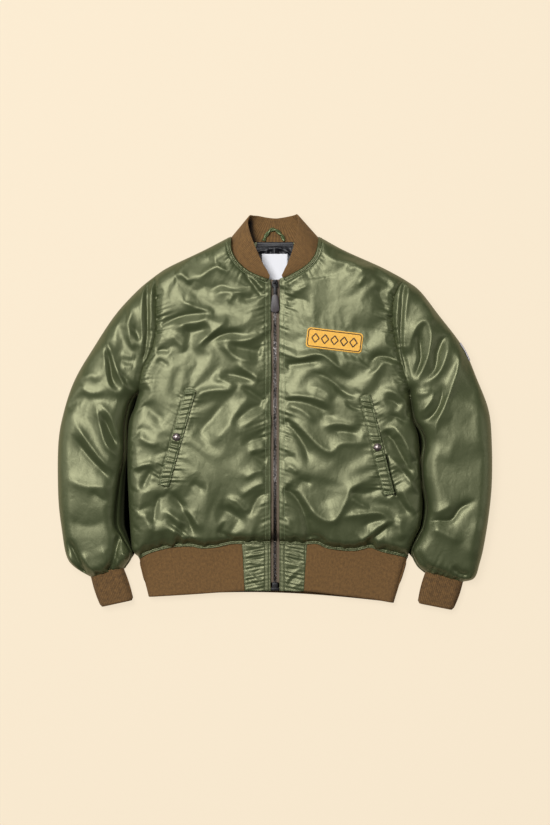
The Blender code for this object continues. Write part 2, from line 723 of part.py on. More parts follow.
def hem_rib(finish):
    """The knitted hem: one band from block to block, round the back."""
    last = BLOCK_COLUMNS + FRONT_COLUMNS + ROLL_COLUMNS
    plans = {half: hem_rows(half, BLOCK_COLUMNS, last) for half in SIGN}
    nape = back_plan()[0]
    corners = [plans[half][-1][-1] for half in ("right", "left")]
    rows = []
    for i in range(len(plans["right"])):
        step = i / (len(plans["right"]) - 1)
        upper = {}
        for half in SIGN:
            inside = Vector((SIGN[half] * FRONT_MIDDLE_X, HEM_MIDDLE_Y))
            line = plans[half][i]
            line[0] = line[0] + Vector((SEAM_GAP * SIGN[half], 0))
            upper[half] = [skin(half, "rib", point, inside) for point in line]
        line = [plans["right"][i][-1]]
        for point in nape[1:-1]:
            share = (point.x - nape[0].x) / (nape[-1].x - nape[0].x)
            low = corners[0].lerp(corners[1], share)
            low.y += (BACK_HEM_Y - low.y) * math.sin(math.pi * share)
            line.append((point - Vector((0, SEAM_GAP))).lerp(low, step))
        line.append(plans["left"][i][-1])
        under = [skin(half_of(j, len(line)), "rib", point, Vector((0, HEM_MIDDLE_Y)), upper=False)
                 for j, point in enumerate(line)]
        if i == 0:
            upper = {half: squared_to(plans[half][i], upper[half]) for half in SIGN}
            under = squared_to(line, under)
        for half, j in (("right", 0), ("left", -1)):
            point, look = upper[half][-1]
            upper[half][-1] = ((point + under[j][0]) / 2, under[j][1])
        rows.append(upper["right"] + under[1:-1] + upper["left"][::-1])
    return wall("hem_rib", rows, RIB_WALL, finish)


def level_look(out, turn):
    """A direction that looks out level at 0 degrees, up at 90 and down at -90."""
    angle = math.radians(turn)
    return Vector((out.x * math.cos(angle), out.y * math.cos(angle), math.sin(angle))).normalized()


def collar(finish):
    """The knitted collar: a band round the neck seam, folded flat at each side of the neck."""
    stations = []
    inside = Vector((0, CHEST_MIDDLE_Y))
    top = back_plan()[-1]
    neck_from = ROLL_COLUMNS + BACK_SIDE_COLUMNS
    for half in ("right", "left"):
        run = drawn_back(neck_run(half), Vector((0, BACK_NECK_Y)))[::-1]
        out = Vector((SIGN[half] * COLLAR_OUT[0], COLLAR_OUT[1]))
        arm = []
        seams = squared_to(run, [skin(half, "body", point, inside) for point in run])
        for (seam, look), row in zip(seams, COLLAR_FRONT[half]):
            edge = Vector((*row["edge"], row["rise"]))
            arm.append(((seam, look), (edge, level_look(out, row["turn"]))))
        corner = Vector(OUTLINES[half]["neck"][-1]) + Vector((-SIGN[half], 1)) * SEAM_GAP
        along_nape = (top[neck_from] - top[neck_from + 1]).normalized()
        along_nape.x = abs(along_nape.x) * SIGN[half]
        arm[0] = ((Vector((corner.x, corner.y, arm[0][0][0].z)), level_look(along_nape, 0)), arm[0][1])
        nape = []
        for j, row in enumerate(COLLAR_BACK[half], start=1):
            column = neck_from + j if half == "right" else len(top) - 1 - neck_from - j
            point = top[column] + Vector((0, SEAM_GAP))
            seam, look = skin(half, "body", point, inside, upper=False)
            edge = Vector((*row["edge"], row["rise"]))
            nape.append(((seam, look), (edge, level_look(out, row["turn"]))))
        stations.append(arm[::-1] + nape)
    middle_row = COLLAR_BACK_MIDDLE
    seam = top[len(top) // 2] + Vector((0, SEAM_GAP))
    middle = ((Vector((seam.x, seam.y, 0)), -UP), (Vector((*middle_row["edge"], middle_row["rise"])), -UP))
    ring = stations[0] + [middle] + stations[1][::-1]
    rows = []
    for share in BLOCK_STEPS:
        row = []
        for (seam, seam_look), (edge, edge_look) in ring:
            look = seam_look.lerp(edge_look, share).normalized()
            row.append((seam.lerp(edge, share), look))
        rows.append(row)
    return wall("collar", rows, RIB_WALL, finish)


def faceted_height(piece):
    """A function that gives the height of a piece's top face, in millimetres, at a point of the plan."""
    mesh = piece.data
    tree = BVHTree.FromPolygons([v.co / MM for v in mesh.vertices],
                                [tuple(f.vertices) for f in mesh.polygons])

    def height(x, y):
        hit = tree.ray_cast(Vector((x, y, 10 * BODY_LOFT)), -UP)[0]
        return hit.z if hit else None

    return height


def seat_height(height, point, reach):
    """The highest that a carrier stands near a point: a stiff strip laid on it rests on its high spots."""
    spots = [point] + [point + Vector((reach * math.cos(a), reach * math.sin(a)))
                       for a in (math.pi * i / 4 for i in range(8))]
    return max(height(spot.x, spot.y) for spot in spots)


def laid_strip(name, plan, height, thickness, finish, reach=5.0):
    """A thin flat piece that lies on a panel, following its top face."""
    rows = []
    for row in plan:
        top = [seat_height(height, point, reach) + LAID_GAP + thickness for point in row]
        rows.append([(Vector((point.x, point.y, z)), UP) for point, z in zip(row, top)])
    return wall(name, rows, thickness, finish)


def turned_grid(centre, angle, length, width, columns, rows, corner=(0.0, 0.0)):
    """Plan grid of a rectangle turned about its centre, with its corners drawn in along and across."""
    turn = Matrix.Rotation(math.radians(angle), 2)
    plan = []
    for i in range(rows + 1):
        row = []
        for j in range(columns + 1):
            x = length * (j / columns - 0.5)
            y = width * (i / rows - 0.5)
            if i in (0, rows) and j in (0, columns):
                x -= math.copysign(corner[0], x)
                y -= math.copysign(corner[1], y)
            row.append(Vector(centre) + turn @ Vector((x, y)))
        plan.append(row)
    return plan


def pocket_welt(half, height, finish):
    """The satin welt that covers a slanted hand pocket."""
    welt = WELTS[half]
    top, bottom = Vector(welt["top"]), Vector(welt["bottom"])
    span = top - bottom
    angle = math.degrees(math.atan2(span.y, span.x))
    plan = turned_grid((top + bottom) / 2, angle, span.length, WELT_WIDTH, WELT_COLUMNS, WELT_ROWS)
    return laid_strip("pocket_welt_" + half, plan, height, WELT_WALL, finish)


def turned_shape(name, profile, place, finish):
    """A round piece: a profile of (radius, height) spun round an upright axis."""
    mesh = bpy.data.meshes.new(name)
    bm = bmesh.new()
    line = [bm.verts.new(Vector((radius, 0, z)) * MM) for radius, z in profile]
    for a, b in zip(line, line[1:]):
        bm.edges.new((a, b))
    bm.to_mesh(mesh)
    bm.free()
    piece = add_piece(name, mesh, finish)
    piece.location = Vector(place) * MM
    screw = piece.modifiers.new("turn", "SCREW")
    screw.steps = SNAP_SIDES
    screw.render_steps = SNAP_SIDES
    screw.use_merge_vertices = True
    screw.merge_threshold = MERGE
    mesh.shade_smooth()
    return piece


def snap(half, welt_piece, finish):
    """The domed snap button in the middle of a pocket welt."""
    x, y = WELTS[half]["snap"]
    base = seat_height(faceted_height(welt_piece), Vector((x, y)), SNAP_RADIUS) + SEAM_GAP
    profile = [(SNAP_RADIUS * row["radius"], SNAP_HEIGHT * row["height"]) for row in SNAP_PROFILE]
    return turned_shape("snap_" + half, profile, (x, y, base), finish)


def box_mesh(name, size, centre, finish, bevel=0.0):
    """A block from its size and centre, with its edges eased."""
    mesh = bpy.data.meshes.new(name)
    bm = bmesh.new()
    bmesh.ops.create_cube(bm, size=1.0)
    bmesh.ops.scale(bm, vec=Vector(size) * MM, verts=bm.verts)
    if bevel:
        bmesh.ops.bevel(bm, geom=list(bm.edges), offset=bevel * MM, segments=1, profile=0.5,
                        affect="EDGES", material=-1)
    bm.to_mesh(mesh)
    bm.free()
    piece = add_piece(name, mesh, finish)
    piece.location = Vector(centre) * MM
    return piece


def as_tool(piece):
    """Moves a piece out of the jacket: it only cuts or joins another."""
    COLLECTION.objects.unlink(piece)
    TOOLS.objects.link(piece)
    piece.hide_render = True
    piece.display_type = "WIRE"
    return piece


def boolean(piece, tool, operation):
    modifier = piece.modifiers.new(operation.lower(), "BOOLEAN")
    modifier.operation = operation
    modifier.solver = "EXACT"
    modifier.object = as_tool(tool)


def fly_height(heights):
    """A function of Y: the lowest that the fronts' faceted top stands beside the zip."""
    hem_y = OUTLINES["left"]["hem"][0][1]
    neck_y = OUTLINES["left"]["neck"][0][1]

    def height(y):
        if y < hem_y + 1:
            return RIB_LOFT
        near = [min(max(y + step, hem_y + 1), neck_y - FLY_REACH) for step in (-FLY_REACH, 0, FLY_REACH)]
        across = (ZIP_HALF_GAP + 2 * SEAM_GAP, ZIP_HALF_GAP + TAPE_TUCK)
        found = [heights[half](SIGN[half] * x, v) for half in SIGN for x in across for v in near]
        return min(z for z in found if z is not None)

    return height


def fly_stations(low, high):
    """Heights along the zip between two ends, at the hem blocks' and fronts' own rows."""
    hem_y = OUTLINES["left"]["hem"][0][1]
    edge_y = OUTLINES["left"]["hem_edge"][0][1]
    rows = [hem_y + (edge_y - hem_y) * share for share in BLOCK_STEPS[-2::-1]]
    rows += [row[0].y for row in front_plan("left")[1:-NECK_ROWS - ROLL_COLUMNS - 1]]
    return [low] + [y for y in rows if low + 1 < y < high - 1] + [high]


def zip_tape(half, height, finish):
    """One side of the zip's woven tape: it runs under the front's edge."""
    rows = []
    for y in fly_stations(ZIP_BOTTOM + BOX_LENGTH + SEAM_GAP, SLIDER_TOP):
        top = height(y) - TAPE_DROP
        xs = (CHAIN_HALF_WIDTH + SEAM_GAP, ZIP_HALF_GAP + TAPE_TUCK)
        rows.append([(Vector((x * SIGN[half], y, top)), UP) for x in xs])
    return wall("zip_tape_" + half, rows, TAPE_WALL, finish)


def zip_chain(height, finish):
    """The closed chain of teeth, as a plain bar."""
    rows = []
    for y in fly_stations(ZIP_BOTTOM + BOX_LENGTH + SEAM_GAP, SLIDER_BOTTOM - SEAM_GAP):
        top = height(y) - TAPE_DROP + CHAIN_PROUD
        rows.append([(Vector((x, y, top)), UP) for x in (-CHAIN_HALF_WIDTH, CHAIN_HALF_WIDTH)])
    return wall("zip_chain", rows, CHAIN_PROUD + TAPE_WALL, finish)


def zip_box(height, finish):
    """The retainer box at the foot of the zip."""
    top = height(ZIP_BOTTOM) - TAPE_DROP + CHAIN_PROUD + BOX_PROUD
    bottom = height(ZIP_BOTTOM) - TAPE_DROP - TAPE_WALL - BOX_PROUD
    size = (2 * (ZIP_HALF_GAP - LAID_GAP), BOX_LENGTH, top - bottom)
    return box_mesh("zip_box", size, (0, ZIP_BOTTOM + BOX_LENGTH / 2, (top + bottom) / 2), finish, BOX_EASE)


def zip_slider(height, finish):
    """The slider at the top of the zip: two plates and a web, with a bridge for the pull."""
    tape_top = height(SLIDER_BOTTOM) - TAPE_DROP
    tape_end = height(SLIDER_TOP) - TAPE_DROP
    middle_y = (SLIDER_BOTTOM + SLIDER_TOP) / 2
    length = SLIDER_TOP - SLIDER_BOTTOM
    plate_low = max(tape_top, tape_end) + SEAM_GAP
    plate_high = PULL_AXIS_Z - EYE_RADIUS - LINK_WALL / 2 - SEAM_GAP
    under_high = min(tape_top, tape_end) - TAPE_WALL - SEAM_GAP
    body = box_mesh("zip_slider", (SLIDER_WEB, length, plate_high - under_high),
                    (0, middle_y, (plate_high + under_high) / 2), finish)
    plate = box_mesh("slider_plate", (SLIDER_WIDTH, length, plate_high - plate_low),
                     (0, middle_y, (plate_high + plate_low) / 2), finish, SLIDER_EASE)
    under = box_mesh("slider_under", (SLIDER_WIDTH, length, SLIDER_UNDER),
                     (0, middle_y, under_high - SLIDER_UNDER / 2 + SLIDER_BITE), finish, SLIDER_EASE / 2)
    boolean(body, plate, "UNION")
    boolean(body, under, "UNION")
    for side in SIGN.values():
        tall = PULL_AXIS_Z + BAR_RADIUS + LUG_OVER_BAR - plate_high + LUG_SINK
        place = (side * (LUG_GAP + LUG_WALL) / 2, PULL_AXIS_Y, plate_high - LUG_SINK + tall / 2)
        lug = box_mesh("slider_lug", (LUG_WALL, LUG_LENGTH, tall), place, finish)
        boolean(body, lug, "UNION")
    bar = rod("slider_bar", BAR_RADIUS, LUG_GAP + LUG_WALL, finish)
    bar.location = Vector((0, PULL_AXIS_Y, PULL_AXIS_Z)) * MM
    boolean(body, bar, "UNION")
    return body


def rod(name, radius, length, finish):
    """A round bar along X."""
    mesh = bpy.data.meshes.new(name)
    bm = bmesh.new()
    bmesh.ops.create_cone(bm, cap_ends=True, segments=12, radius1=radius * MM, radius2=radius * MM,
                          depth=length * MM, matrix=Matrix.Rotation(math.pi / 2, 4, "Y"))
    bm.to_mesh(mesh)
    bm.free()
    return add_piece(name, mesh, finish)


def zip_pull(metal, leather):
    """The pull: a metal link with an eye round the slider's bar, and a leather tab on its tongue."""
    hinge = bpy.data.objects.new("zip_pull_hinge", None)
    COLLECTION.objects.link(hinge)
    hinge.location = Vector((0, PULL_AXIS_Y, PULL_AXIS_Z)) * MM
    hinge.rotation_euler = (math.radians(PULL_DROOP), 0, 0)
    eye = rod("zip_link", EYE_RADIUS + LINK_WALL / 2, LINK_EYE_WIDTH, metal)
    hole = rod("eye_hole", EYE_RADIUS - LINK_WALL / 2, LINK_EYE_WIDTH * 2, metal)
    boolean(eye, hole, "DIFFERENCE")
    neck = box_mesh("link_neck", (NECK_WIDTH, LINK_SHOULDER, NECK_WALL),
                    (0, -EYE_RADIUS - LINK_SHOULDER / 2, 0), metal)
    arm = box_mesh("link_arm", (LINK_WIDTH, LINK_LENGTH - LINK_SHOULDER, LINK_WALL),
                   (0, -(LINK_LENGTH + LINK_SHOULDER) / 2, 0), metal, 0.3)
    boolean(eye, neck, "UNION")
    boolean(eye, arm, "UNION")
    tab_start = LINK_LENGTH - TONGUE
    tab = box_mesh("zip_pull_tab", (TAB_WIDTH, TAB_LENGTH, TAB_WALL),
                   (0, -tab_start - TAB_LENGTH / 2, 0), leather)
    round_tab(tab)
    slot_size = [size + 2 * SEAM_GAP for size in (LINK_WIDTH, 2 * TONGUE, LINK_WALL)]
    slot = box_mesh("tab_slot", slot_size, (0, -tab_start, 0), leather)
    boolean(tab, slot, "DIFFERENCE")
    for piece in (eye, hole, neck, arm, tab, slot):
        piece.parent = hinge


def round_tab(tab):
    """Rounds the tab's four upright corners."""
    bm = bmesh.new()
    bm.from_mesh(tab.data)
    upright = [e for e in bm.edges if abs((e.verts[0].co - e.verts[1].co).z) > 0.0001]
    bmesh.ops.bevel(bm, geom=upright, offset=TAB_CORNER * MM, segments=4, profile=0.5,
                    affect="EDGES", material=-1)
    bm.to_mesh(tab.data)
    bm.free()


def back_lining(finish):
    """The lining that shows in the neck, laid on the inside of the back."""
    rows = []
    for share in BLOCK_STEPS:
        y = BACK_NECK_Y - 2 * SEAM_GAP - LINING_DEPTH * share
        half_width = LINING_TOP_HALF + (LINING_BOTTOM_HALF - LINING_TOP_HALF) * share
        top = PADDED_WALL + SEAM_GAP + LINING_WALL
        across = [half_width * (j / LINING_HALF_COLUMNS - 1) for j in range(2 * LINING_HALF_COLUMNS + 1)]
        rows.append([(Vector((x, y, top)), UP) for x in across])
    return wall("lining_back_neck", rows, LINING_WALL, finish)


def label(finish):
    """The plain woven label at the back of the neck."""
    top = PADDED_WALL + 2 * SEAM_GAP + LINING_WALL + LABEL_WALL
    plan = turned_grid((-0.5, LABEL_TOP_Y - LABEL_HEIGHT / 2), 0, LABEL_WIDTH, LABEL_HEIGHT, 3, 3)
    rows = [[(Vector((p.x, p.y, top)), UP) for p in row] for row in plan]
    return wall("label", rows, LABEL_WALL, finish)


def hanger_loop(finish):
    """The twisted satin loop at the back neck seam, for a peg."""
    curve = bpy.data.curves.new("hanger_loop", "CURVE")
    curve.dimensions = "3D"
    curve.bevel_depth = LOOP_RADIUS * MM
    curve.bevel_resolution = 2
    curve.use_fill_caps = True
    spline = curve.splines.new("POLY")
    run = smooth_curve([(*p, LOOP_Z) for p in LOOP_POINTS], 3)
    spline.points.add(len(run) - 1)
    for knot, point in zip(spline.points, run):
        knot.co = (*(point * MM), 1.0)
    piece = bpy.data.objects.new("hanger_loop", curve)
    curve.materials.append(finish)
    COLLECTION.objects.link(piece)


def sleeve_patch(finish):
    """A plain woven patch that wraps the outer edge of the wearer's left sleeve."""
    run = CURVES["left"]["sleeve_outer"]
    start = min(range(len(run)), key=lambda i: abs(run[i].y - SLEEVE_PATCH_TOP))
    rest = run[start:]
    rows = []
    for i in range(SLEEVE_PATCH_ROWS + 1):
        distance = SLEEVE_PATCH_HEIGHT * i / SLEEVE_PATCH_ROWS
        point = point_along(rest, distance)
        along = (point_along(rest, distance + 1) - point).normalized()
        inward = Vector((along.y, -along.x))
        inward = inward if inward.x < 0 else -inward
        row = []
        for step, upper in SLEEVE_PATCH_STEPS:
            spot = point + inward * step * SEAM_REACH
            face, look = skin("left", "sleeve", spot, point + inward * SEAM_REACH, upper)
            row.append((face + look * (SLEEVE_PATCH_PROUD + LINING_WALL), look))
        rows.append(row)
    return wall("sleeve_patch", rows, LINING_WALL, finish)


def build():
    satin = material("olive satin", (0.115, 0.135, 0.065), 0.42)
    rib = material("brown rib knit", (0.155, 0.09, 0.035), 0.9)
    lining = material("charcoal lining satin", (0.02, 0.02, 0.023), 0.4)
    label_cloth = material("white woven label", (0.8, 0.8, 0.78), 0.8)
    yellow = material("golden embroidery", (0.87, 0.5, 0.05), 0.8)
    tape = material("brown zip tape", (0.09, 0.065, 0.045), 0.85)
    metal = material("blackened zip metal", (0.05, 0.045, 0.04), 0.4, 0.9)
    brass = material("antique snap metal", (0.12, 0.085, 0.08), 0.4, 0.9)
    leather = material("dark leather", (0.03, 0.018, 0.012), 0.55)
    fronts = {}
    for half in SIGN:
        fronts[half] = front(half, satin)
        sleeve(half, satin)
        cuff(half, rib)
        hem_block(half, satin)
        welt = pocket_welt(half, faceted_height(fronts[half]), satin)
        snap(half, welt, brass)
    back(satin)
    hem_rib(rib)
    collar(rib)
    patch = turned_grid(**CHEST_PATCH)
    laid_strip("chest_patch", patch, faceted_height(fronts["left"]), PATCH_WALL, yellow)
    sleeve_patch(label_cloth)
    back_lining(lining)
    label(label_cloth)
    hanger_loop(satin)
    height = fly_height({half: faceted_height(fronts[half]) for half in SIGN})
    for half in SIGN:
        zip_tape(half, height, tape)
    zip_chain(height, metal)
    zip_box(height, metal)
    zip_slider(height, metal)
    zip_pull(metal, leather)


remove_all()
COLLECTION = bpy.data.collections.new("tanker_jacket")
TOOLS = bpy.data.collections.new("tools")
for group in (COLLECTION, TOOLS):
    bpy.context.scene.collection.children.link(group)
build()
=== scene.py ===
"""Padded satin tanker jacket, laid flat on its back. Lengths in the tables are millimetres."""

import math

import bmesh
import bpy
import numpy as np
from mathutils import Matrix, Vector
from mathutils.bvhtree import BVHTree
from mathutils.kdtree import KDTree


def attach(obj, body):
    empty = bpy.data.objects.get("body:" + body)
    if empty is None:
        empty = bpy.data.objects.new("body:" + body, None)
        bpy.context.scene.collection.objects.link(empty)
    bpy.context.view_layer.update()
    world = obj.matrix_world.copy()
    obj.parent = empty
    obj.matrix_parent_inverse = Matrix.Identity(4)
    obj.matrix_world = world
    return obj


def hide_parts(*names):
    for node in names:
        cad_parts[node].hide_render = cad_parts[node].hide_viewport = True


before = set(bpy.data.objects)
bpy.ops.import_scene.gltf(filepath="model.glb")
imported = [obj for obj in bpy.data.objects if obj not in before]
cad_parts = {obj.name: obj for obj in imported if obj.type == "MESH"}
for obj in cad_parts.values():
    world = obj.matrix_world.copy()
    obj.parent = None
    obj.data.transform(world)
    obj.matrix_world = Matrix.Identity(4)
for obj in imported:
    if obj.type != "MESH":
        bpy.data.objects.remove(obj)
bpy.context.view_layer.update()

# ---------------------------------------------------------------------------------------------
# The paper it lies on, and the studio. A cream sweep, one large soft light high up on the left
# beyond the collar, and three weak ones lower down: at the left, beyond the collar, at the right.
MM = 0.001


def node(tree, kind, settings=None, links=None):
    """Adds a node, sets its properties and inputs, and links inputs to other nodes' outputs."""
    made = tree.nodes.new(kind)
    for key, value in (settings or {}).items():
        if isinstance(key, str) and hasattr(made, key):
            setattr(made, key, value)
        else:
            made.inputs[key].default_value = value
    for key, socket in (links or {}).items():
        tree.links.new(socket, made.inputs[key])
    return made


def colour(code):
    """The linear colour of an sRGB hex code."""
    parts = [int(code[i:i + 2], 16) / 255 for i in (0, 2, 4)]
    return tuple(c / 12.92 if c <= 0.04045 else ((c + 0.055) / 1.055) ** 2.4 for c in parts) + (1.0,)


def finish(name, **inputs):
    """A Principled material with settings on the shader's own sockets."""
    made = bpy.data.materials.new(name)
    made.use_nodes = True
    shader = made.node_tree.nodes["Principled BSDF"]
    for key, value in inputs.items():
        shader.inputs[key.replace("_", " ")].default_value = value
    return made, made.node_tree, shader


def piece_from(bm, name, material, smooth=True):
    """An object at the origin from a bmesh, with its normals outwards."""
    mesh = bpy.data.meshes.new(name)
    bm.to_mesh(mesh)
    bm.free()
    mesh.materials.append(material)
    made = bpy.data.objects.new(name, mesh)
    bpy.context.scene.collection.objects.link(made)
    if smooth:
        mesh.shade_smooth()
    return made


bpy.context.scene.view_settings.view_transform = "Standard"
CAMERA_HEIGHT = 4.0
FOCUS_Z = 0.02
VIEW_HEIGHT = 1.5675
lens = bpy.data.cameras.new("camera")
lens.sensor_fit = "VERTICAL"
lens.sensor_height = 24.0
lens.lens = lens.sensor_height * CAMERA_HEIGHT / VIEW_HEIGHT
camera = bpy.data.objects.new("camera", lens)
camera.location = (0.0, 0.0, CAMERA_HEIGHT + FOCUS_Z)
bpy.context.scene.collection.objects.link(camera)
bpy.context.scene.camera = camera

# Matt cream paper sweep: its own light evens out the fall-off towards the corners.
paper = finish("cream paper sweep", Base_Color=colour("544F46"), Roughness=0.9, Specular_IOR_Level=0.0,
               Emission_Color=colour("FBEBD1"), Emission_Strength=0.874)[0]
SWEEP_HALF = 6.0
SWEEP_Z = -0.0005
bm = bmesh.new()
bmesh.ops.create_grid(bm, x_segments=1, y_segments=1, size=SWEEP_HALF)
bmesh.ops.translate(bm, verts=bm.verts, vec=(0, 0, SWEEP_Z))
sweep = piece_from(bm, "paper_sweep", paper, smooth=False)
sweep.visible_diffuse = False

for name, place, size, power in (
        ("key softbox", (-1.0, 1.0, 3.7), (1.9, 1.8), 185.0),
        ("left fill", (-3.4, 0.5, 1.7), (1.0, 2.6), 26.0),
        ("head fill", (-0.6, 3.6, 1.9), (2.6, 1.0), 28.0),
        ("right fill", (3.4, -0.2, 1.7), (1.0, 2.6), 16.0)):
    lamp = bpy.data.lights.new(name, "AREA")
    lamp.shape = "RECTANGLE"
    lamp.size, lamp.size_y = size
    lamp.energy = power
    holder = bpy.data.objects.new(name, lamp)
    holder.location = place
    holder.rotation_euler = (-Vector(place)).to_track_quat("-Z", "Y").to_euler()
    bpy.context.scene.collection.objects.link(holder)
world = bpy.data.worlds.new("studio")
world.use_nodes = True
world.node_tree.nodes["Background"].inputs["Color"].default_value = (1.0, 0.97, 0.93, 1.0)
world.node_tree.nodes["Background"].inputs["Strength"].default_value = 0.03
bpy.context.scene.world = world

# ---------------------------------------------------------------------------------------------
# Fronts. Flight satin, a polyester wadding and a lining quilted at the seams make one soft padded
# panel each side of the zip. The cloth is full, so it stands in sharp folds between the seams.
SIDES = {"right": -1.0, "left": 1.0}
SATIN_WALL = 2.4
# The plain form: how high each part stands, the level of its rolled edge as a share of that, and
# how far in the roll reaches, as another.
BODY_LOFT = 54.0
RIB_LOFT = 23.0
CUFF_LOFT = 27.0
RIM_SHARE = 0.5
ROLL_SHARE = 0.5
# Plan of the pieces. The fronts' edges stand FRONT_EDGE off the middle of the zip.
FRONT_EDGE = 8.5
HEM_SEAM_Y = -246

OUTLINES = {
    "right": {
        "side": [(-259, -275), (-268, -266), (-272.5, -252), (-277, -185), (-280, -100), (-278, -25),
                 (-266, 12), (-258.5, 39)],
        "rib_side": [(-240.5, -350.5), (-250, -301), (-254, -287), (-259, -275)],
        "hem": [(-8.5, -246), (-60, -245.5), (-84, -246), (-110, -252), (-138, -254.5), (-162, -250.5),
                (-200, -253), (-240, -264), (-259, -275)],
        "hem_edge": [(-8.5, -339), (-62, -339), (-150, -345), (-240.5, -350.5)],
        "armhole": [(-258.5, 39), (-250, 82), (-234, 115), (-225, 153), (-225, 195), (-226, 235),
                    (-227, 259.5)],
        "neck": [(-12, 251.5), (-47.5, 267), (-69.5, 286), (-81.5, 308.5), (-84, 334)],
        "shoulder": [(-84, 334), (-136, 307), (-200, 276.5), (-227, 259.5)],
        "sleeve_outer": [(-227, 259.5), (-261, 231), (-303, 185), (-343, 124.5), (-379, 63.5), (-400, 3),
                         (-411, -60), (-411, -160), (-404, -225), (-396, -271), (-382, -292),
                         (-350.5, -312.5)],
        "sleeve_inner": [(-258.5, 39), (-275, 22), (-285, -22), (-286.5, -83), (-296, -130),
                         (-303, -205), (-293, -232), (-276, -262), (-276, -277), (-288, -295.5)],
        "cuff": [(-331.5, -369.5), (-269, -356)],
    },
    "left": {
        "side": [(253, -273), (259, -253), (269, -231), (276, -214), (280, -175), (275, -94), (272, -45),
                 (261, -10), (255.5, 39)],
        "rib_side": [(226, -362), (242, -301), (248, -284), (253, -273)],
        "hem": [(8.5, -246), (52, -247), (80, -246), (103, -255), (150, -259), (180, -253), (204, -261),
                (240, -269), (253, -273)],
        "hem_edge": [(8.5, -339), (62, -340), (123, -347), (179, -354), (226, -362)],
        "armhole": [(255.5, 39), (236.5, 98), (226, 143), (221.5, 180), (226, 221), (244, 253.5)],
        "neck": [(15, 253), (54, 275.5), (73, 295.5), (80, 314.5), (83, 334)],
        "shoulder": [(83, 334), (132, 307), (200, 276.5), (244, 253.5)],
        "sleeve_outer": [(244, 253.5), (274.5, 231), (310.5, 185), (356, 124.5), (383, 63.5), (405.5, 3),
                         (411.3, -60), (411.3, -134), (405.5, -195), (396, -255), (388.5, -286),
                         (379, -314), (358, -322)],
        "sleeve_inner": [(255.5, 39), (265, -12), (279, -35), (285, -60), (279, -94), (281, -130),
                         (289, -176), (284, -214), (276, -232), (264, -254), (262, -268), (272, -290),
                         (286, -303)],
        "cuff": [(339, -375.3), (271, -362)],
    },
}

# How far the cloth sinks towards each seam: a depth, how wide the slope is, and how hollow.
DIPS = {
    "hem": [(12.0, 170.0, 1.5), (19.0, 18.0, 1.9)],
    "armhole": [(7.0, 14.0, 2.2)],
    "neck": [(7.0, 17.0, 2.2)],
    "zip": [(9.0, 75.0, 2.5)],
    "cuff": [(11.0, 150.0, 1.4), (16.0, 22.0, 2.6)],
}
PANEL_SEAMS = {"body": ("hem", "armhole", "neck", "zip"), "sleeve": ("armhole", "cuff"), "rib": (),
               "cuff": ()}


def smooth_run(points, steps=8):
    """Points on a smooth curve through the given ones."""
    knots = np.array(points, float)
    ends = np.vstack([2 * knots[0] - knots[1], knots, 2 * knots[-1] - knots[-2]])
    t = np.linspace(0, 1, steps, endpoint=False)[:, None]
    parts = [0.5 * (2 * b + (c - a) * t + (2 * a - 5 * b + 4 * c - d) * t ** 2
                    + (3 * b - a - 3 * c + d) * t ** 3)
             for a, b, c, d in zip(ends, ends[1:], ends[2:], ends[3:])]
    return np.vstack(parts + [knots[-1:]])


def along_run(run, shares):
    """Points at shares of a run's length."""
    steps = np.linalg.norm(np.diff(run, axis=0), axis=1)
    gone = np.concatenate([[0], np.cumsum(steps)])
    want = np.asarray(shares) * gone[-1]
    return np.stack([np.interp(want, gone, run[:, k]) for k in range(run.shape[1])], axis=-1)


def run_length(run):
    return np.linalg.norm(np.diff(run, axis=0), axis=1).sum()


def unit(vectors):
    """Rows of vectors, each made 1 long."""
    return vectors / np.linalg.norm(vectors, axis=1)[:, None]


def leftward(steps):
    """Rows of plan vectors, turned a quarter to the left."""
    return np.stack([-steps[:, 1], steps[:, 0]], axis=-1)


def raised(plan, height):
    """3-D points from plan points and their heights."""
    return np.concatenate([plan, height[..., None]], axis=-1)


def to_runs(points, runs):
    """Distance from plan points to the nearest of several runs, the side they lie on, and the length
    along the run there."""
    flat = points.reshape(-1, 2)
    best = np.full(len(flat), 1e18)
    side = np.zeros(len(flat))
    length = np.zeros(len(flat))
    for run in runs:
        gone = 0.0
        for a, b in zip(run, run[1:]):
            span = b - a
            size = span @ span
            if size < 1e-9:
                continue
            t = np.clip(((flat - a) @ span) / size, 0, 1)
            away = a + t[:, None] * span - flat
            d = (away ** 2).sum(1)
            near = d < best
            best[near] = d[near]
            side[near] = np.sign(span[0] * -away[near, 1] + span[1] * away[near, 0])
            length[near] = gone + t[near] * math.sqrt(size)
            gone += math.sqrt(size)
    shape = points.shape[:-1]
    return np.sqrt(best).reshape(shape), side.reshape(shape), length.reshape(shape)


def rounded(t):
    """A quarter circle, from 0 at an edge to 1 a full reach inwards."""
    return np.sqrt(1 - (1 - np.clip(t, 0, 1)) ** 2)


def eased(t):
    """A smooth step, from 0 to 1."""
    t = np.clip(t, 0, 1)
    return t * t * (3 - 2 * t)


CURVES = {half: {key: smooth_run(points) for key, points in lines.items() if key != "cuff"}
          for half, lines in OUTLINES.items()}
for half, lines in OUTLINES.items():
    CURVES[half]["cuff_outer"] = np.array([lines["sleeve_outer"][-1], lines["cuff"][0]], float)
    CURVES[half]["cuff_inner"] = np.array([lines["sleeve_inner"][-1], lines["cuff"][1]], float)
    CURVES[half]["cuff_seam"] = np.array([lines["sleeve_outer"][-1], lines["sleeve_inner"][-1]], float)
    CURVES[half]["zip"] = np.array([(0, HEM_SEAM_Y), (0, 254)], float)
ROLLED_EDGES = ("side", "rib_side", "shoulder", "sleeve_outer", "sleeve_inner", "cuff_outer",
                "cuff_inner")
ROLLED = {half: [curves[key] for key in ROLLED_EDGES] for half, curves in CURVES.items()}


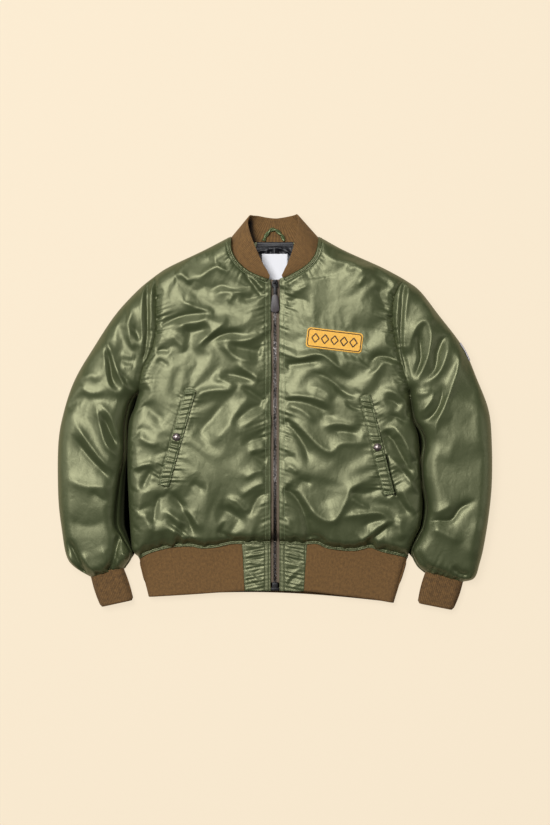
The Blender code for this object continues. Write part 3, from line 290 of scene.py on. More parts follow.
def form(half, kind, plan, upper=True):
    """Heights of the plain form at plan points, how far off the nearest seam or rolled edge is, and
    how far off the nearest rolled edge."""
    loft = np.full(plan.shape[:-1], {"rib": RIB_LOFT, "cuff": CUFF_LOFT}.get(kind, BODY_LOFT))
    seam = np.full(plan.shape[:-1], 1e6)
    sink = np.zeros(plan.shape[:-1])
    for key in PANEL_SEAMS[kind]:
        run = CURVES[half]["cuff_seam" if key == "cuff" else key]
        distance = to_runs(plan, [run])[0]
        sink = np.maximum(sink, sum(depth * np.clip(1 - distance / reach, 0, 1) ** hollow
                                    for depth, reach, hollow in DIPS[key]))
        seam = np.minimum(seam, distance)
    loft = loft - sink
    edge = to_runs(plan, ROLLED[half])[0]
    share = rounded(edge / (ROLL_SHARE * loft))
    rim = RIM_SHARE * loft
    height = rim + (loft - rim) * share if upper else rim * (1 - share)
    return height, np.minimum(seam, edge), edge


def folds(text):
    """Folds from rows of a table: a height (a trough's is negative), the widths on the left and the
    right of a line, then the line's points. start and end are the shares of its length that it
    fades over, else 0.3 each. A free fold runs on over a seam."""
    rows = []
    for line in text.strip().splitlines():
        height, left, right, *words = line.split()
        row = {"height": float(height), "left": float(left), "right": float(right), "start": 0.3,
               "end": 0.3, "free": "free" in words}
        row["line"] = [tuple(map(float, word.split(","))) for word in words if "," in word]
        row.update((word.split("=")[0], float(word.split("=")[1])) for word in words if "=" in word)
        rows.append(row)
    return rows


def creases(plan, rows):
    """Sum of the heights of folds at plan points."""
    total = np.zeros(plan.shape[:-1])
    for row in rows:
        run = smooth_run(row["line"], 5)
        distance, side, length = to_runs(plan, [run])
        t = length / run_length(run)
        fade = eased(t / row["start"]) * eased((1 - t) / row["end"])
        width = np.where(side > 0, row["left"], row["right"])
        tip = 0.22 * width
        fall = np.exp(-(np.sqrt(distance ** 2 + tip ** 2) - tip) / (0.8 * width))
        total += row["height"] * fade * fall
    return total


def ripple(length, seed, pitch=14.0):
    """An uneven wave along a length, about one crest to a pitch."""
    wave = np.zeros_like(length)
    for k, (share, weight) in enumerate(((0.7, 0.4), (1.0, 1.0), (1.4, 0.8), (2.3, 0.6), (3.9, 0.4))):
        wave += weight * np.sin(2 * math.pi * length / (pitch * share) + seed * (1.7 + k) + 1.3 * k)
    return wave / 1.8


def gathers(plan, rows):
    """Puckers that a line of stitching pulls into the cloth: they stand square to it, are sharpest
    beside it and die away. A row is a run, how far from it the stitching lies, the puckers' pitch,
    height and reach, a seed, their lean, and the depth of the groove that the stitching sinks."""
    total = np.zeros(plan.shape[:-1])
    for run, start, pitch, height, reach, seed, lean, groove in rows:
        distance, _, length = to_runs(plan, [run])
        away = distance - start
        fall = reach * (0.7 + 0.35 * np.sin(length / 19.0 + 2.1 * seed))
        slow = 0.65 + 0.35 * np.sin(length / 33.0 + seed)
        slant = length + lean * distance + 2.5 * np.sin(length / 27.0 + seed)
        crest = ripple(slant, seed, pitch)
        outside = eased(away / 2.0) * np.exp(-np.maximum(away, 0) / fall)
        inside = 0.3 * eased(-away / 2.0) if start else 0.0
        total += height * slow * crest * (outside + inside)
        total -= groove * np.exp(-(away / 1.3) ** 2)
    return total


def stepped(length, spacing, reach_start, reach_end):
    """Shares of a length, evenly spaced, and closer where the cloth rolls over an end."""
    def roll(reach):
        count = max(2, round(1.35 * reach / spacing))
        return reach * (1 - np.cos(np.linspace(0, math.pi / 2, count, endpoint=False)))
    start = roll(reach_start) if reach_start else np.array([])
    end = roll(reach_end) if reach_end else np.array([])
    middle = length - reach_start - reach_end
    even = reach_start + np.linspace(0, middle, max(2, round(middle / spacing)) + 1)
    return np.concatenate([start, even, length - end[::-1]]) / length


def cloth_grid(name, points, material, closed=False):
    """A sheet from rows of 3-D points in millimetres, with its own map in the UV layer 'cloth'.
    closed joins the last column to the first."""
    rows, columns = points.shape[:2]
    bm = bmesh.new()
    bm.loops.layers.uv.new("cloth")
    bmesh.ops.create_grid(bm, x_segments=columns - 1, y_segments=rows - 1, size=0.5, calc_uvs=True)
    bm.verts.ensure_lookup_table()
    for vertex, point in zip(bm.verts, points.reshape(-1, 3) * MM):
        vertex.co = point
    if closed:
        ends = [v for i, v in enumerate(bm.verts) if i % columns in (0, columns - 1)]
        bmesh.ops.remove_doubles(bm, verts=ends, dist=1e-6)
        bmesh.ops.recalc_face_normals(bm, faces=bm.faces)
    bm.normal_update()
    if not closed and sum(face.normal.z * face.calc_area() for face in bm.faces) < 0:
        bmesh.ops.reverse_faces(bm, faces=bm.faces)
    return piece_from(bm, name, material)


def settle(piece, weights, calm, frames, spare, pressure):
    """Lets the cloth buckle a little where it is held by its seams. weights say how firmly each
    point is held to its form: 1 is sewn down. Where calm is 1 the cloth has nothing to spare."""
    for name, values in (("held", weights), ("calm", calm)):
        group = piece.vertex_groups.new(name=name)
        levels = np.round(values, 2)
        for level in np.unique(levels):
            group.add([int(i) for i in np.nonzero(levels == level)[0]], float(level), "REPLACE")
    cloth = piece.modifiers.new("settle", "CLOTH")
    rules = cloth.settings
    rules.quality = 5
    rules.mass = 0.2
    rules.tension_stiffness = 20
    rules.compression_stiffness = 20
    rules.shear_stiffness = 8
    rules.bending_stiffness = 3.0
    rules.tension_damping = 10
    rules.compression_damping = 10
    rules.shear_damping = 10
    rules.air_damping = 3
    rules.vertex_group_mass = "held"
    rules.pin_stiffness = 0.6
    rules.shrink_min = -spare
    rules.shrink_max = 0.0
    rules.vertex_group_shrink = "calm"
    rules.use_pressure = pressure != 0
    rules.uniform_pressure_force = pressure
    rules.effector_weights.gravity = 0
    cloth.collision_settings.use_collision = False
    cloth.collision_settings.use_self_collision = False
    cloth.point_cache.frame_start = 1
    cloth.point_cache.frame_end = frames
    scene = bpy.context.scene
    for step in range(1, frames + 1):
        scene.frame_set(step)
    graph = bpy.context.evaluated_depsgraph_get()
    moved = piece.evaluated_get(graph).to_mesh()
    buffer = np.empty(len(moved.vertices) * 3, np.float32)
    moved.vertices.foreach_get("co", buffer)
    piece.evaluated_get(graph).to_mesh_clear()
    piece.modifiers.remove(cloth)
    piece.data.vertices.foreach_set("co", buffer)
    piece.data.update()
    scene.frame_set(1)


def refined(piece, lift):
    """Halves the grid of a sheet, and moves its points along their normals by lift(x and y, z)."""
    fine = piece.modifiers.new("fine", "SUBSURF")
    fine.levels = fine.render_levels = 1
    made = bpy.data.meshes.new_from_object(piece.evaluated_get(bpy.context.evaluated_depsgraph_get()))
    piece.modifiers.remove(fine)
    piece.data = made
    place = np.empty((len(made.vertices), 3), np.float32)
    normal = np.empty_like(place)
    made.vertices.foreach_get("co", place.reshape(-1))
    made.vertices.foreach_get("normal", normal.reshape(-1))
    place = place.astype(float) + normal * lift(place[:, :2] / MM, place[:, 2] / MM)[:, None] * MM
    made.vertices.foreach_set("co", place.reshape(-1))
    made.update()


def thicken(piece, wall, offset=-1.0):
    """Gives a sheet its wall: inwards from its face, or outwards where offset is 1."""
    solid = piece.modifiers.new("wall", "SOLIDIFY")
    solid.thickness = wall * MM
    solid.offset = offset
    return piece


# Folds of each front. Each line runs along the crest or the trough.
FRONT_FOLDS = {
    "right": folds("""
    7   16    9  -112,186 -140,172 -172,165 -198,152
    4    8   10  -198,153 -184,135 -166,116
  7.5    9   15  -97,192 -98,168 -122,146 -160,113
 -5.5    7    7  -215,162 -185,178 -150,185 -118,185
    4    9    8  -174,210 -150,198 -112,186
   -8   16   16  -176,150 -148,152 -120,160
    5   12    6  -78,284 -92,268 -112,275 -136,260 -152,246
   -6    6    7  -62,268 -42,242 -24,214 end=0.15
    4    5    5  -52,266 -33,243 -16,224
  4.5    6   12  -122,214 -101,226 -78,226 -44,226
    3    8    5  -77,226 -84,215 -90,206
 -2.5    8    5  -130,224 -101,239 -78,229
  2.5    6    8  -146,221 -173,210 -150,200
   -4    9    9  -70,216 -50,214 -36,224
 -6.5    7    8  -140,122 -112,140 -84,149 -52,146
    6    8   12  -116,124 -96,136 -60,135 -22,148
    5   12    8  -114,126 -92,119 -70,101 -28,95
 -6.5   13   13  -90,128 -60,120 -24,112 end=0.12
  5.5    8    9  -80,96 -60,82 -28,61 end=0.15
 -7.5   10    9  -108,72 -80,70 -54,64 -34,56
    5    9    9  -120,66 -96,60 -72,44
   -6    6    6  -64,50 -42,35 -18,19 end=0.1
  5.5    7   14  -166,16 -140,37 -108,43 -68,40
   -6   17   17  -84,32 -116,-8 -158,-54
    6   20   18  -58,28 -86,-24 -128,-66
   -6   11   11  -20,14 -48,6 -84,-25 start=0.12
    4    8    8  -16,0 -40,-12 -66,-30 start=0.12
   -5    7    9  -18,-44 -40,-50 -64,-62 start=0.12
    4    7    7  -16,-62 -34,-70 -52,-72 start=0.12
   -4    6    7  -18,-95 -34,-84 -46,-74 start=0.12
    4    7    8  -18,-110 -38,-112 -60,-128 start=0.12
 -5.5    6    8  -16,-150 -34,-162 -50,-200 start=0.12
    4    8    8  -16,-130 -40,-140 -70,-160 start=0.12
   -9    8   10  -208,-146 -182,-168 -164,-202 -148,-240
  6.5    9   10  -184,-176 -160,-192 -134,-226
    6    9    8  -210,-182 -190,-198 -164,-216
   -6    6    6  -206,-204 -186,-216 -160,-238
  4.5    6    6  -200,-222 -184,-226 -166,-243
   -6    5    7  -214,-150 -224,-176 -230,-212 end=0.2
   -6    6    7  -228,-102 -240,-122 -252,-150
  4.5    9    9  -246,-180 -240,-206 -226,-232
   -8   16   16  -112,-178 -82,-190 -52,-212
    5    6    6  -96,-160 -72,-168 -56,-184 -46,-172
    4    5    6  -96,-168 -78,-176 -66,-190
   -6    6    6  -112,-224 -96,-230 -78,-238
   -4    9    9  -160,-130 -142,-142 -128,-148
 -3.5    5    5  -226,112 -212,118 -196,112
 -3.5    5    5  -224,98 -212,94 -200,84
   -5   16   16  -250,20 -226,-4 -206,-20
  4.5   10    9  -262,-40 -240,-56 -214,-62
  4.5    7    8  -268,-108 -246,-98 -222,-96
  4.5   10   12  -190,262 -172,258 -156,240
   -4   22   22  -170,292 -140,282 -110,292
    """),
    "left": folds("""
    5   22   75  176,306 188,262 182,205 168,150
    5    8   16  86,298 110,288 150,280 196,262
 -3.5    5    5  92,318 132,298 176,278 222,246
   -5    7    7  176,270 196,254 226,236
  4.5    8   12  132,264 152,274 174,258
  3.5    8    8  156,236 166,252 178,262
   -6   14   14  186,240 202,212 214,184
    4    6    7  22,238 40,252 62,262 start=0.12
    4    6    8  24,222 46,232 66,244 start=0.12
 -3.5    9    9  20,206 46,214 70,206 start=0.12
    7   12    8  20,112 44,101 84,109 118,86 150,60
   -7    8    9  18,86 46,92 94,98 start=0.12
 -6.5   10    8  60,78 96,66 126,44 152,28
    4   10   10  62,52 92,40 112,20
   -7    6    8  172,84 190,104 212,104 238,92
    6    6    9  170,72 190,78 208,95 240,84
  5.5    8    8  18,27 46,31 84,24 116,8 start=0.12
 -4.5    6    6  18,21 52,19 90,6 112,0 start=0.12
  4.5    8    8  24,14 54,2 80,-22 start=0.12
   -7   10    8  18,-12 42,-40 60,-74 62,-104 start=0.1
  5.5   12    9  22,-8 54,-34 82,-62 106,-74 128,-58 176,-60 start=0.12
  4.5    7    8  84,-30 118,-21 164,-29
   -5    9    8  100,-38 130,-36 166,-44
 -3.5    4    4  134,22 146,10 164,8
 -3.5    4    4  112,48 132,36 158,28
   -3    7    7  82,-10 100,-6 118,-8
    8   14   10  30,-126 52,-156 78,-193 112,-203 134,-168 148,-140 200,-118
  -10    9    9  18,-140 42,-162 57,-196 66,-244 start=0.1 end=0.1
   -4   34   34  100,-120 96,-150 104,-180
   -6    7    7  60,-236 80,-232 98,-250
  4.5    6    6  140,-158 160,-172 180,-180
   -4    7    7  138,-150 170,-152 200,-146
  6.5    9    9  118,-199 160,-192 196,-190 226,-204
    6   10    6  150,-241 172,-236 196,-216 226,-203
   -8    7    7  172,-250 198,-228 224,-207
   -5    9    9  160,-214 186,-206 212,-200
  -10    9   11  203,-32 224,-56 240,-84 262,-128 start=0.15 end=0.2
    6    9    9  216,-16 242,-52 264,-96
  5.5    8    8  214,-78 232,-100 254,-128 268,-160
    5    8    7  236,-132 250,-168 266,-194
   -5    6    6  226,-150 238,-172 256,-196
  5.5    9    9  238,-190 236,-220 240,-246
   -5    8    8  206,22 222,22 238,6
  5.5    9    9  196,42 218,40 244,22 256,-4
   -4    7    7  214,-6 232,-10 250,-24
  4.5    8    8  20,-196 30,-216 44,-238
 -3.5    4    5  18,-78 30,-84 40,-80
  3.5    5    6  18,-100 34,-104 44,-118
   -4    6    7  44,-124 56,-130 72,-132
    """),
}
# What is sewn flat on a front holds it down there: the pocket welts, and the patch on the left chest.
WELTS = {
    "right": {"top": (-158.5, 44.5), "bottom": (-210, -138), "snap": (-185.5, -46.5)},
    "left": {"top": (170, 31.5), "bottom": (215.5, -155), "snap": (193, -65.5)},
}
WELT_WIDTH = 21.0
WELT_STITCH = 2.6
PATCH = {"centre": (112, 136), "angle": -7, "length": 106, "width": 38}


def welt_frame(half):
    """A welt's top, the unit vectors down it and across it, and its length."""
    top, bottom = (np.array(WELTS[half][key], float) for key in ("top", "bottom"))
    length = np.linalg.norm(bottom - top)
    along = (bottom - top) / length
    return top, along, np.array([-along[1], along[0]]), length


WELT_LINES = {}
for half, row in WELTS.items():
    top, along, _, _ = welt_frame(half)
    inset = along * (WELT_WIDTH / 2 - 2.0)
    WELT_LINES[half] = np.array([top + inset, np.array(row["bottom"], float) - inset])
FRONT_GATHERS = {half: [
    (lines["zip"], 18.0, 9.5, 1.25, 12, 1.3, 0.35, 0.4),
    (lines["zip"], 10.5, 4.8, 0.5, 5, 4.0, 0.3, 0.3),
    (lines["armhole"], 0.0, 9.0, 2.0, 12, 3.1, -0.3, 0.0),
    (lines["neck"], 8.5, 7.5, 1.1, 12, 5.2, 0.2, 0.9),
    (lines["hem"], 0.0, 21.0, 3.4, 24, 2.3, 0.3, 0.0),
    (WELT_LINES[half], WELT_WIDTH / 2, 7.5, 1.2, 10, 2.7, 0.25, 0.9),
] for half, lines in CURVES.items()}
# Where the padding fills the cloth out smooth: a place and a radius.
CALM = {"right": [(-112, -105, 62), (-215, 20, 34), (-190, -20, 30)],
        "left": [(110, 225, 85), (112, -110, 50), (96, 75, 24)]}
# The left pocket's mouth gapes beside the lower part of its welt, and gets painted shade, near black.
SLIT = np.array([(210.5, -82), (214, -106), (219.5, -130), (227.5, -156)], float)
# A front's width and length, and the spacing of the points on fronts and sleeves before it's halved.
FRONT_SIZE = (255, 570)
GRID = 3.65


def sewn_flat(half, plan):
    """Distance from the edge of the welt, or of the patch, to plan points: 0 on them."""
    away = np.maximum(to_runs(plan, [WELT_LINES[half]])[0] - WELT_WIDTH / 2 + 2.0, 0)
    if half == "left":
        turn = math.radians(-PATCH["angle"])
        x, y = (plan[..., k] - PATCH["centre"][k] for k in (0, 1))
        along, across = x * math.cos(turn) - y * math.sin(turn), x * math.sin(turn) + y * math.cos(turn)
        gap = np.hypot(np.maximum(abs(along) - PATCH["length"] / 2, 0),
                       np.maximum(abs(across) - PATCH["width"] / 2, 0))
        away = np.minimum(away, gap)
    return away


def front_plan(half):
    """Plan points of a front: rows from the hem seam up, columns from the zip to the outer edge."""
    curves = CURVES[half]
    outer = np.vstack([curves["side"], curves["armhole"][1:]])
    zip_x = SIDES[half] * FRONT_EDGE
    inner = np.vstack([[(zip_x, HEM_SEAM_Y)], [(zip_x, curves["neck"][0][1])], curves["neck"][1:]])
    v = stepped(FRONT_SIZE[1], GRID, 40, 30)
    starts, ends = along_run(inner, v), along_run(outer, v)
    u = stepped(FRONT_SIZE[0], GRID, 0, 40)
    plan = starts[:, None] + (ends - starts)[:, None] * u[None, :, None]
    shares = {"hem": np.clip(1 - v / 0.3, 0, 1) ** 2, "shoulder": np.clip(1 - (1 - v) / 0.14, 0, 1)}
    for key, share in shares.items():
        run = curves[key]
        order = np.argsort(run[:, 0])
        line = np.interp(plan[..., 0], run[order, 0], run[order, 1])
        chord = np.interp(plan[..., 0], *[[run[order[0], k], run[order[-1], k]] for k in (0, 1)])
        inside = (plan[..., 0] >= run[order[0], 0]) & (plan[..., 0] <= run[order[-1], 0])
        plan[..., 1] += np.where(inside, line - chord, 0) * share[:, None]
    return plan


# The wadding under the cloth softens its folds: this share of their height shows.
FOLD_SHARE = 0.82


def dressed(half, kind, plan, rows):
    """3-D points of the cloth over a plan, from its plain form and its folds, and how far off the
    nearest seam or rolled edge is."""
    height, near, edge = form(half, kind, plan)
    lift = creases(plan, [row for row in rows if not row["free"]]) * eased(near / 10.0)
    lift += creases(plan, [row for row in rows if row["free"]]) * eased(edge / 5.0)
    return raised(plan, height + FOLD_SHARE * lift), near


# Satin: long floats of nylon filament lie over the face, so it mirrors light in broad, slightly
# streaked patches of its own olive, and is near black where it turns away.
satin, satin_tree, satin_shader = finish(
    "olive flight satin", Base_Color=colour("444C31"), Roughness=0.43, Metallic=0.3,
    Specular_IOR_Level=1.0, Specular_Tint=colour("FFF5CF"))


def weave_bump(tree, shader, size, thread, strength, roughness, spread, mottle=0.0):
    """Threads along the cloth as streaks in a bump and in the roughness. size is the piece's width
    and length in millimetres over its map, thread the streak's width and length. mottle is the
    depth of the soft unevenness that wadding gives the face, in metres."""
    place = node(tree, "ShaderNodeUVMap", {"uv_map": "cloth"})
    scale = node(tree, "ShaderNodeMapping", {"Scale": (size[0] / thread[0], size[1] / thread[1], 1.0)},
                 {"Vector": place.outputs["UV"]})
    streaks = node(tree, "ShaderNodeTexNoise", {"Scale": 1.0, "Detail": 3.0},
                   {"Vector": scale.outputs["Vector"]})
    rough = node(tree, "ShaderNodeMapRange",
                 {"From Min": 0.3, "From Max": 0.7, "To Min": roughness - spread,
                  "To Max": roughness + spread},
                 {"Value": streaks.outputs["Fac"]})
    bump = node(tree, "ShaderNodeBump", {"Strength": strength, "Distance": 0.0002},
                {"Height": streaks.outputs["Fac"]})
    if mottle:
        body = node(tree, "ShaderNodeTexCoord")
        blotch = node(tree, "ShaderNodeMapping", {"Scale": (58.0, 42.0, 58.0), "Rotation": (0, 0, 0.5)},
                      {"Vector": body.outputs["Object"]})
        uneven = node(tree, "ShaderNodeTexNoise",
                      {"Scale": 1.0, "Detail": 2.0, "Roughness": 0.5, "Distortion": 0.4},
                      {"Vector": blotch.outputs["Vector"]})
        bump = node(tree, "ShaderNodeBump", {"Strength": 1.0, "Distance": mottle},
                    {"Height": uneven.outputs["Fac"], "Normal": bump.outputs["Normal"]})
    tree.links.new(rough.outputs["Result"], shader.inputs["Roughness"])
    tree.links.new(bump.outputs["Normal"], shader.inputs["Normal"])


weave_bump(satin_tree, satin_shader, FRONT_SIZE, (0.9, 3.5), 0.3, 0.43, 0.04, mottle=0.0008)
# Painted shade: where cloth closes over cloth, as under the arm, the marked points of the satin are
# painted near black, matt and without reflection.
painted_shade = node(satin_tree, "ShaderNodeAttribute", {"attribute_name": "painted_shade"})
open_colour = satin_shader.inputs["Base Color"].default_value
painted_shade_colour = node(satin_tree, "ShaderNodeMix", {"data_type": "RGBA", 6: open_colour, 7: colour("010101")},
            {0: painted_shade.outputs["Fac"]})
satin_tree.links.new(painted_shade_colour.outputs[2], satin_shader.inputs["Base Color"])
matt = node(satin_tree, "ShaderNodeMath", {"operation": "MAXIMUM"},
            {0: painted_shade.outputs["Fac"], 1: satin_shader.inputs["Roughness"].links[0].from_socket})
satin_tree.links.new(matt.outputs["Value"], satin_shader.inputs["Roughness"])
dull = node(satin_tree, "ShaderNodeMath", {"operation": "MULTIPLY_ADD", 1: 0.7, 2: 0.3},
            {0: painted_shade.outputs["Fac"]})
satin_tree.links.new(dull.outputs["Value"], satin_shader.inputs["Metallic"])


def front_puckers(spot, z):
    """How far out points of this half's front stand from puckers, and in from the pocket's mouth."""
    lift = gathers(spot, FRONT_GATHERS[half])
    lift *= eased(to_runs(spot, [CURVES[half]["side"], CURVES[half]["shoulder"]])[0] / 12.0)
    lift *= eased(sewn_flat(half, spot) / 2.0 + 0.2)
    return lift - 4.0 * np.exp(-(to_runs(spot, [SLIT])[0] / 2.0) ** 2)


fronts = {}
for half in SIDES:
    plan = front_plan(half)
    points, near = dressed(half, "body", plan, FRONT_FOLDS[half])
    flat = sewn_flat(half, plan)
    plain = form(half, "body", plan)[0]
    points[..., 2] = plain + (points[..., 2] - plain) * (0.25 + 0.75 * eased(flat / 12.0))
    front = cloth_grid("front_cloth_" + half, points, satin)
    hold = np.clip(0.05 + 0.95 * (1 - eased(near / 8.0)) + 0.95 * (1 - eased(flat / 6.0)), 0, 1)
    calm = sum(np.exp(-(np.hypot(plan[..., 0] - x, plan[..., 1] - y) / reach) ** 2)
               for x, y, reach in CALM[half])
    calm = np.clip(calm, 0, 1)
    settle(front, hold.reshape(-1), calm.reshape(-1), frames=16, spare=0.012, pressure=0.3)
    refined(front, front_puckers)
    fronts[half] = front
    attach(front, "jacket")
    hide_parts("front_" + half)


def surface_of(piece):
    """A function: heights of a sheet's face, in millimetres, at plan points."""
    bm = bmesh.new()
    bm.from_mesh(piece.data)
    tree = BVHTree.FromBMesh(bm)
    bm.free()

    def height(plan):
        flat = plan.reshape(-1, 2)
        found = np.full(len(flat), np.nan)
        for i, (x, y) in enumerate(flat * MM):
            hit = tree.ray_cast(Vector((x, y, 1.0)), Vector((0, 0, -1)))[0]
            if hit:
                found[i] = hit.z / MM
        return found.reshape(plan.shape[:-1])

    return height


FACE = {half: surface_of(front) for half, front in fronts.items()}
for front in fronts.values():
    thicken(front, SATIN_WALL)

# ---------------------------------------------------------------------------------------------
# Back. One panel of the same satin, flat where it lies, turned up at the sides and shoulders to
# meet the fronts and the sleeves.
NAPE_Y = 325.5
BACK_GRID = 6.0


def back_plan():
    """Plan points of the back, from the wearer's right to the left."""
    v = stepped(FRONT_SIZE[1], BACK_GRID, 0, 30)
    u = stepped(2 * FRONT_SIZE[0], BACK_GRID, 40, 40)
    right, left = (along_run(np.vstack([CURVES[half]["side"], CURVES[half]["armhole"][1:]]), v)
                   for half in SIDES)
    plan = right[:, None] + (left - right)[:, None] * u[None, :, None]
    right, left = (CURVES[half]["shoulder"] for half in ("right", "left"))
    top = np.vstack([right[::-1], [(right[0][0] + 4, NAPE_Y), (left[0][0] - 4, NAPE_Y)], left])
    low = np.vstack([CURVES["right"]["hem"][::-1], CURVES["left"]["hem"]])
    shifts = [np.interp(plan[..., 0], run[:, 0], run[:, 1])
              - np.interp(plan[..., 0], run[[0, -1], 0], run[[0, -1], 1]) for run in (top, low)]
    plan[..., 1] += shifts[0] * np.clip((v[:, None] - 0.35) / 0.65, 0, 1) ** 2
    plan[..., 1] += shifts[1] * (np.clip(1 - v / 0.3, 0, 1) ** 2)[:, None]
    return plan


def under_form(kind, plan):
    """Heights of the body's lower cloth, each side by its own outline."""
    right, left = (form(half, kind, plan, upper=False)[0] for half in SIDES)
    return np.where(plan[..., 0] < 0, right, left)


plan = back_plan()
back = cloth_grid("back_cloth", raised(plan, under_form("body", plan)), satin)
thicken(back, SATIN_WALL, offset=1.0)
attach(back, "jacket")
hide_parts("back")

# ---------------------------------------------------------------------------------------------
# Sleeves. Each is one tube, cut full at the head, so it stands in long folds from the shoulder to
# the inside of the elbow and blouses over its cuff.
SLEEVE_FOLDS = {
    "right": folds("""
  -10    6    6  -240,258 -241,200 -241,150 -250,88 start=0.06 end=0.1
    6    6    7  -249,250 -250,190 -249,130 -253,96 start=0.08 end=0.15
    5    5    5  -232,244 -233,190 -236,140 start=0.1
    6   12    7  -284,206 -272,190 -277,160 -258,130 -250,116
   -6    8    8  -272,160 -260,150 -254,132
    5    6    6  -278,156 -272,134 -262,118
    9    9    8  -328,148 -314,126 -300,84 -284,54 -270,36
  -10    8    9  -320,130 -311,96 -306,62 -290,38
    7   10   12  -334,144 -322,116 -318,80 -308,46 -280,32
  2.8    4    4  -292,114 -276,106 -262,108
 -2.5    4    4  -294,102 -278,96 -264,98
  2.8    4    4  -290,88 -276,86 -266,88
   -7    5    5  -293,78 -277,56 -262,42
  4.5   12   10  -372,62 -346,70 -328,58
    4    9    9  -372,56 -350,38 -318,40
    8    9   10  -344,28 -334,0 -322,-50 -306,-76 -286,-83
    6   10    8  -342,26 -320,6 -304,-20 -290,-70
   -9    8    8  -330,2 -314,-30 -296,-72
    9   10   14  -382,-10 -358,-48 -330,-86 -298,-118
   -8   12   12  -388,-36 -352,-82 -322,-114 -302,-140
   -4   14   14  -398,0 -372,24 -356,20
    6   14   16  -400,-120 -360,-138 -326,-140 -300,-142
 -3.5    8    8  -350,-146 -332,-160 -312,-172
   -4   20   22  -398,-200 -352,-214 -310,-200
  -13    5    6  -392,-236 -378,-266 -360,-306 end=0.05 free
    5    4    4  -394,-262 -386,-280 -372,-302 free
    4    9    9  -366,-262 -352,-290 -330,-306 free
  -16    6    7  -292,-222 -300,-256 -306,-282 -318,-302 end=0.05 free
    5    4    4  -292,-262 -285,-270 -283,-284 free
    3    9    9  -330,-250 -318,-280 -330,-304 free
  3.5    4    4  -296,-106 -288,-112 -280,-110
    """),
    "left": folds("""
  -10    6    6  244,246 239,190 238,130 246,74 254,46 start=0.06 end=0.1
  6.5    6    7  254,244 246,200 242,150 244,106 start=0.08 end=0.12
    5    5    5  232,216 229,160 236,110 start=0.1
  7.5    7    9  244,104 256,132 266,162 284,173 294,150 290,115 278,82 258,45
  -10    7    7  271,158 273,126 274,98 260,62
  -10    7    8  338,149 318,138 307,112 300,78 272,56
    7    8    8  330,141 323,110 314,86 298,68 276,54
    9   12   10  342,144 346,110 342,76 322,20 304,-20 296,-64
    5    6    7  300,46 298,28 284,10 266,-4
  4.5    5    6  256,36 276,36 300,40
   -8    7    7  318,60 314,28 304,2 288,-12 266,-13
    5   14   14  272,220 292,190 300,160
   -4   16   18  360,120 368,60 366,10
  3.5   22   22  388,40 380,-20 384,-90
    4    6    7  296,-60 282,-88 279,-112 286,-146
    3   22   20  346,-30 336,-60 322,-100
   -9    7    8  283,-213 304,-204 332,-203 350,-180 384,-163
    6   14   14  284,-222 306,-222 334,-236 356,-246
    4   12   10  290,-190 316,-184 340,-168
  3.5   16   16  386,-196 372,-240 366,-284
   -9    5    5  334,-290 350,-304 372,-306 free
    4    4    4  352,-312 362,-316 376,-314 free
   -5    5    6  284,-292 300,-296 334,-308 free
   -4    6    6  268,-252 276,-276 296,-300 free
    """),
}
SLEEVE_GATHERS = {half: [
    (lines["armhole"], 0.0, 9.0, 1.2, 12, 4.4, 0.2, 0.0),
    (lines["cuff_seam"], 0.0, 11.0, 2.6, 16, 1.9, 0.2, 0.0),
] for half, lines in CURVES.items()}


def sleeve_plan(half, rows, columns):
    """Plan points of a sleeve: rows from the armhole to the cuff, columns from outer to inner edge."""
    curves = CURVES[half]
    outer = along_run(curves["sleeve_outer"], rows)
    inner = along_run(curves["sleeve_inner"], rows ** 1.2)
    plan = outer[:, None] + (inner - outer)[:, None] * columns[None, :, None]
    arm = curves["armhole"][::-1]
    first = along_run(arm, columns)
    bow = first - (first[0] + (first[-1] - first[0]) * columns[:, None])
    return plan + bow[None] * (1 - eased(rows / 0.45))[:, None, None]


def under_lip(half, edge):
    """Three columns of points that carry the sleeve's underside on to the body's side, where it lies
    flat against it: edge is the sleeve's inner edge, in 3-D."""
    side = CURVES[half]["side"]
    order = np.argsort(side[:, 1])
    gap = abs(edge[:, 0]) - abs(np.interp(edge[:, 1], side[order, 1], side[order, 0])) + 2.0
    reach = np.clip(gap, 0.5, 32.0) * eased((edge[:, 1] + 276) / 16.0) * eased((38 - edge[:, 1]) / 8.0)
    made = []
    for share, z in ((0.5, 0.8), (1.4, 16.0), (0.5, 0.2)):
        column = edge.copy()
        column[:, 0] -= SIDES[half] * (reach * share + 0.4 * share)
        column[:, 2] = z
        made.append(column)
    return np.stack(made, axis=1)


def shade(piece, spots, reach=0.5):
    """Marks the points of a sheet near given places, in millimetres, for painted shade: the cloth there
    is painted near black.
    """
    spots = spots.reshape(-1, 3) * MM
    tree = KDTree(len(spots))
    for i, spot in enumerate(spots):
        tree.insert(spot, i)
    tree.balance()
    painted_shade = piece.data.attributes.new("painted_shade", "FLOAT", "POINT")
    painted_shade.data.foreach_set("value", [float(eased(1.3 - tree.find(v.co)[2] / (reach * MM)))
                                    for v in piece.data.vertices])


def level_rims(over, under):
    """Brings the first and last columns of two sheets to one height, half-way between them."""
    for edge in (0, -1):
        over[:, edge, 2] = under[:, edge, 2] = (over[:, edge, 2] + under[:, edge, 2]) / 2


def sleeve_puckers(spot, z):
    """How far out points of this half's sleeve stand from puckers: none low down on its roll."""
    edge = [CURVES[half]["sleeve_outer"], CURVES[half]["sleeve_inner"]]
    return (gathers(spot, SLEEVE_GATHERS[half]) * eased(to_runs(spot, edge)[0] / 14.0)
            * eased((z - 14.0) / 6.0))


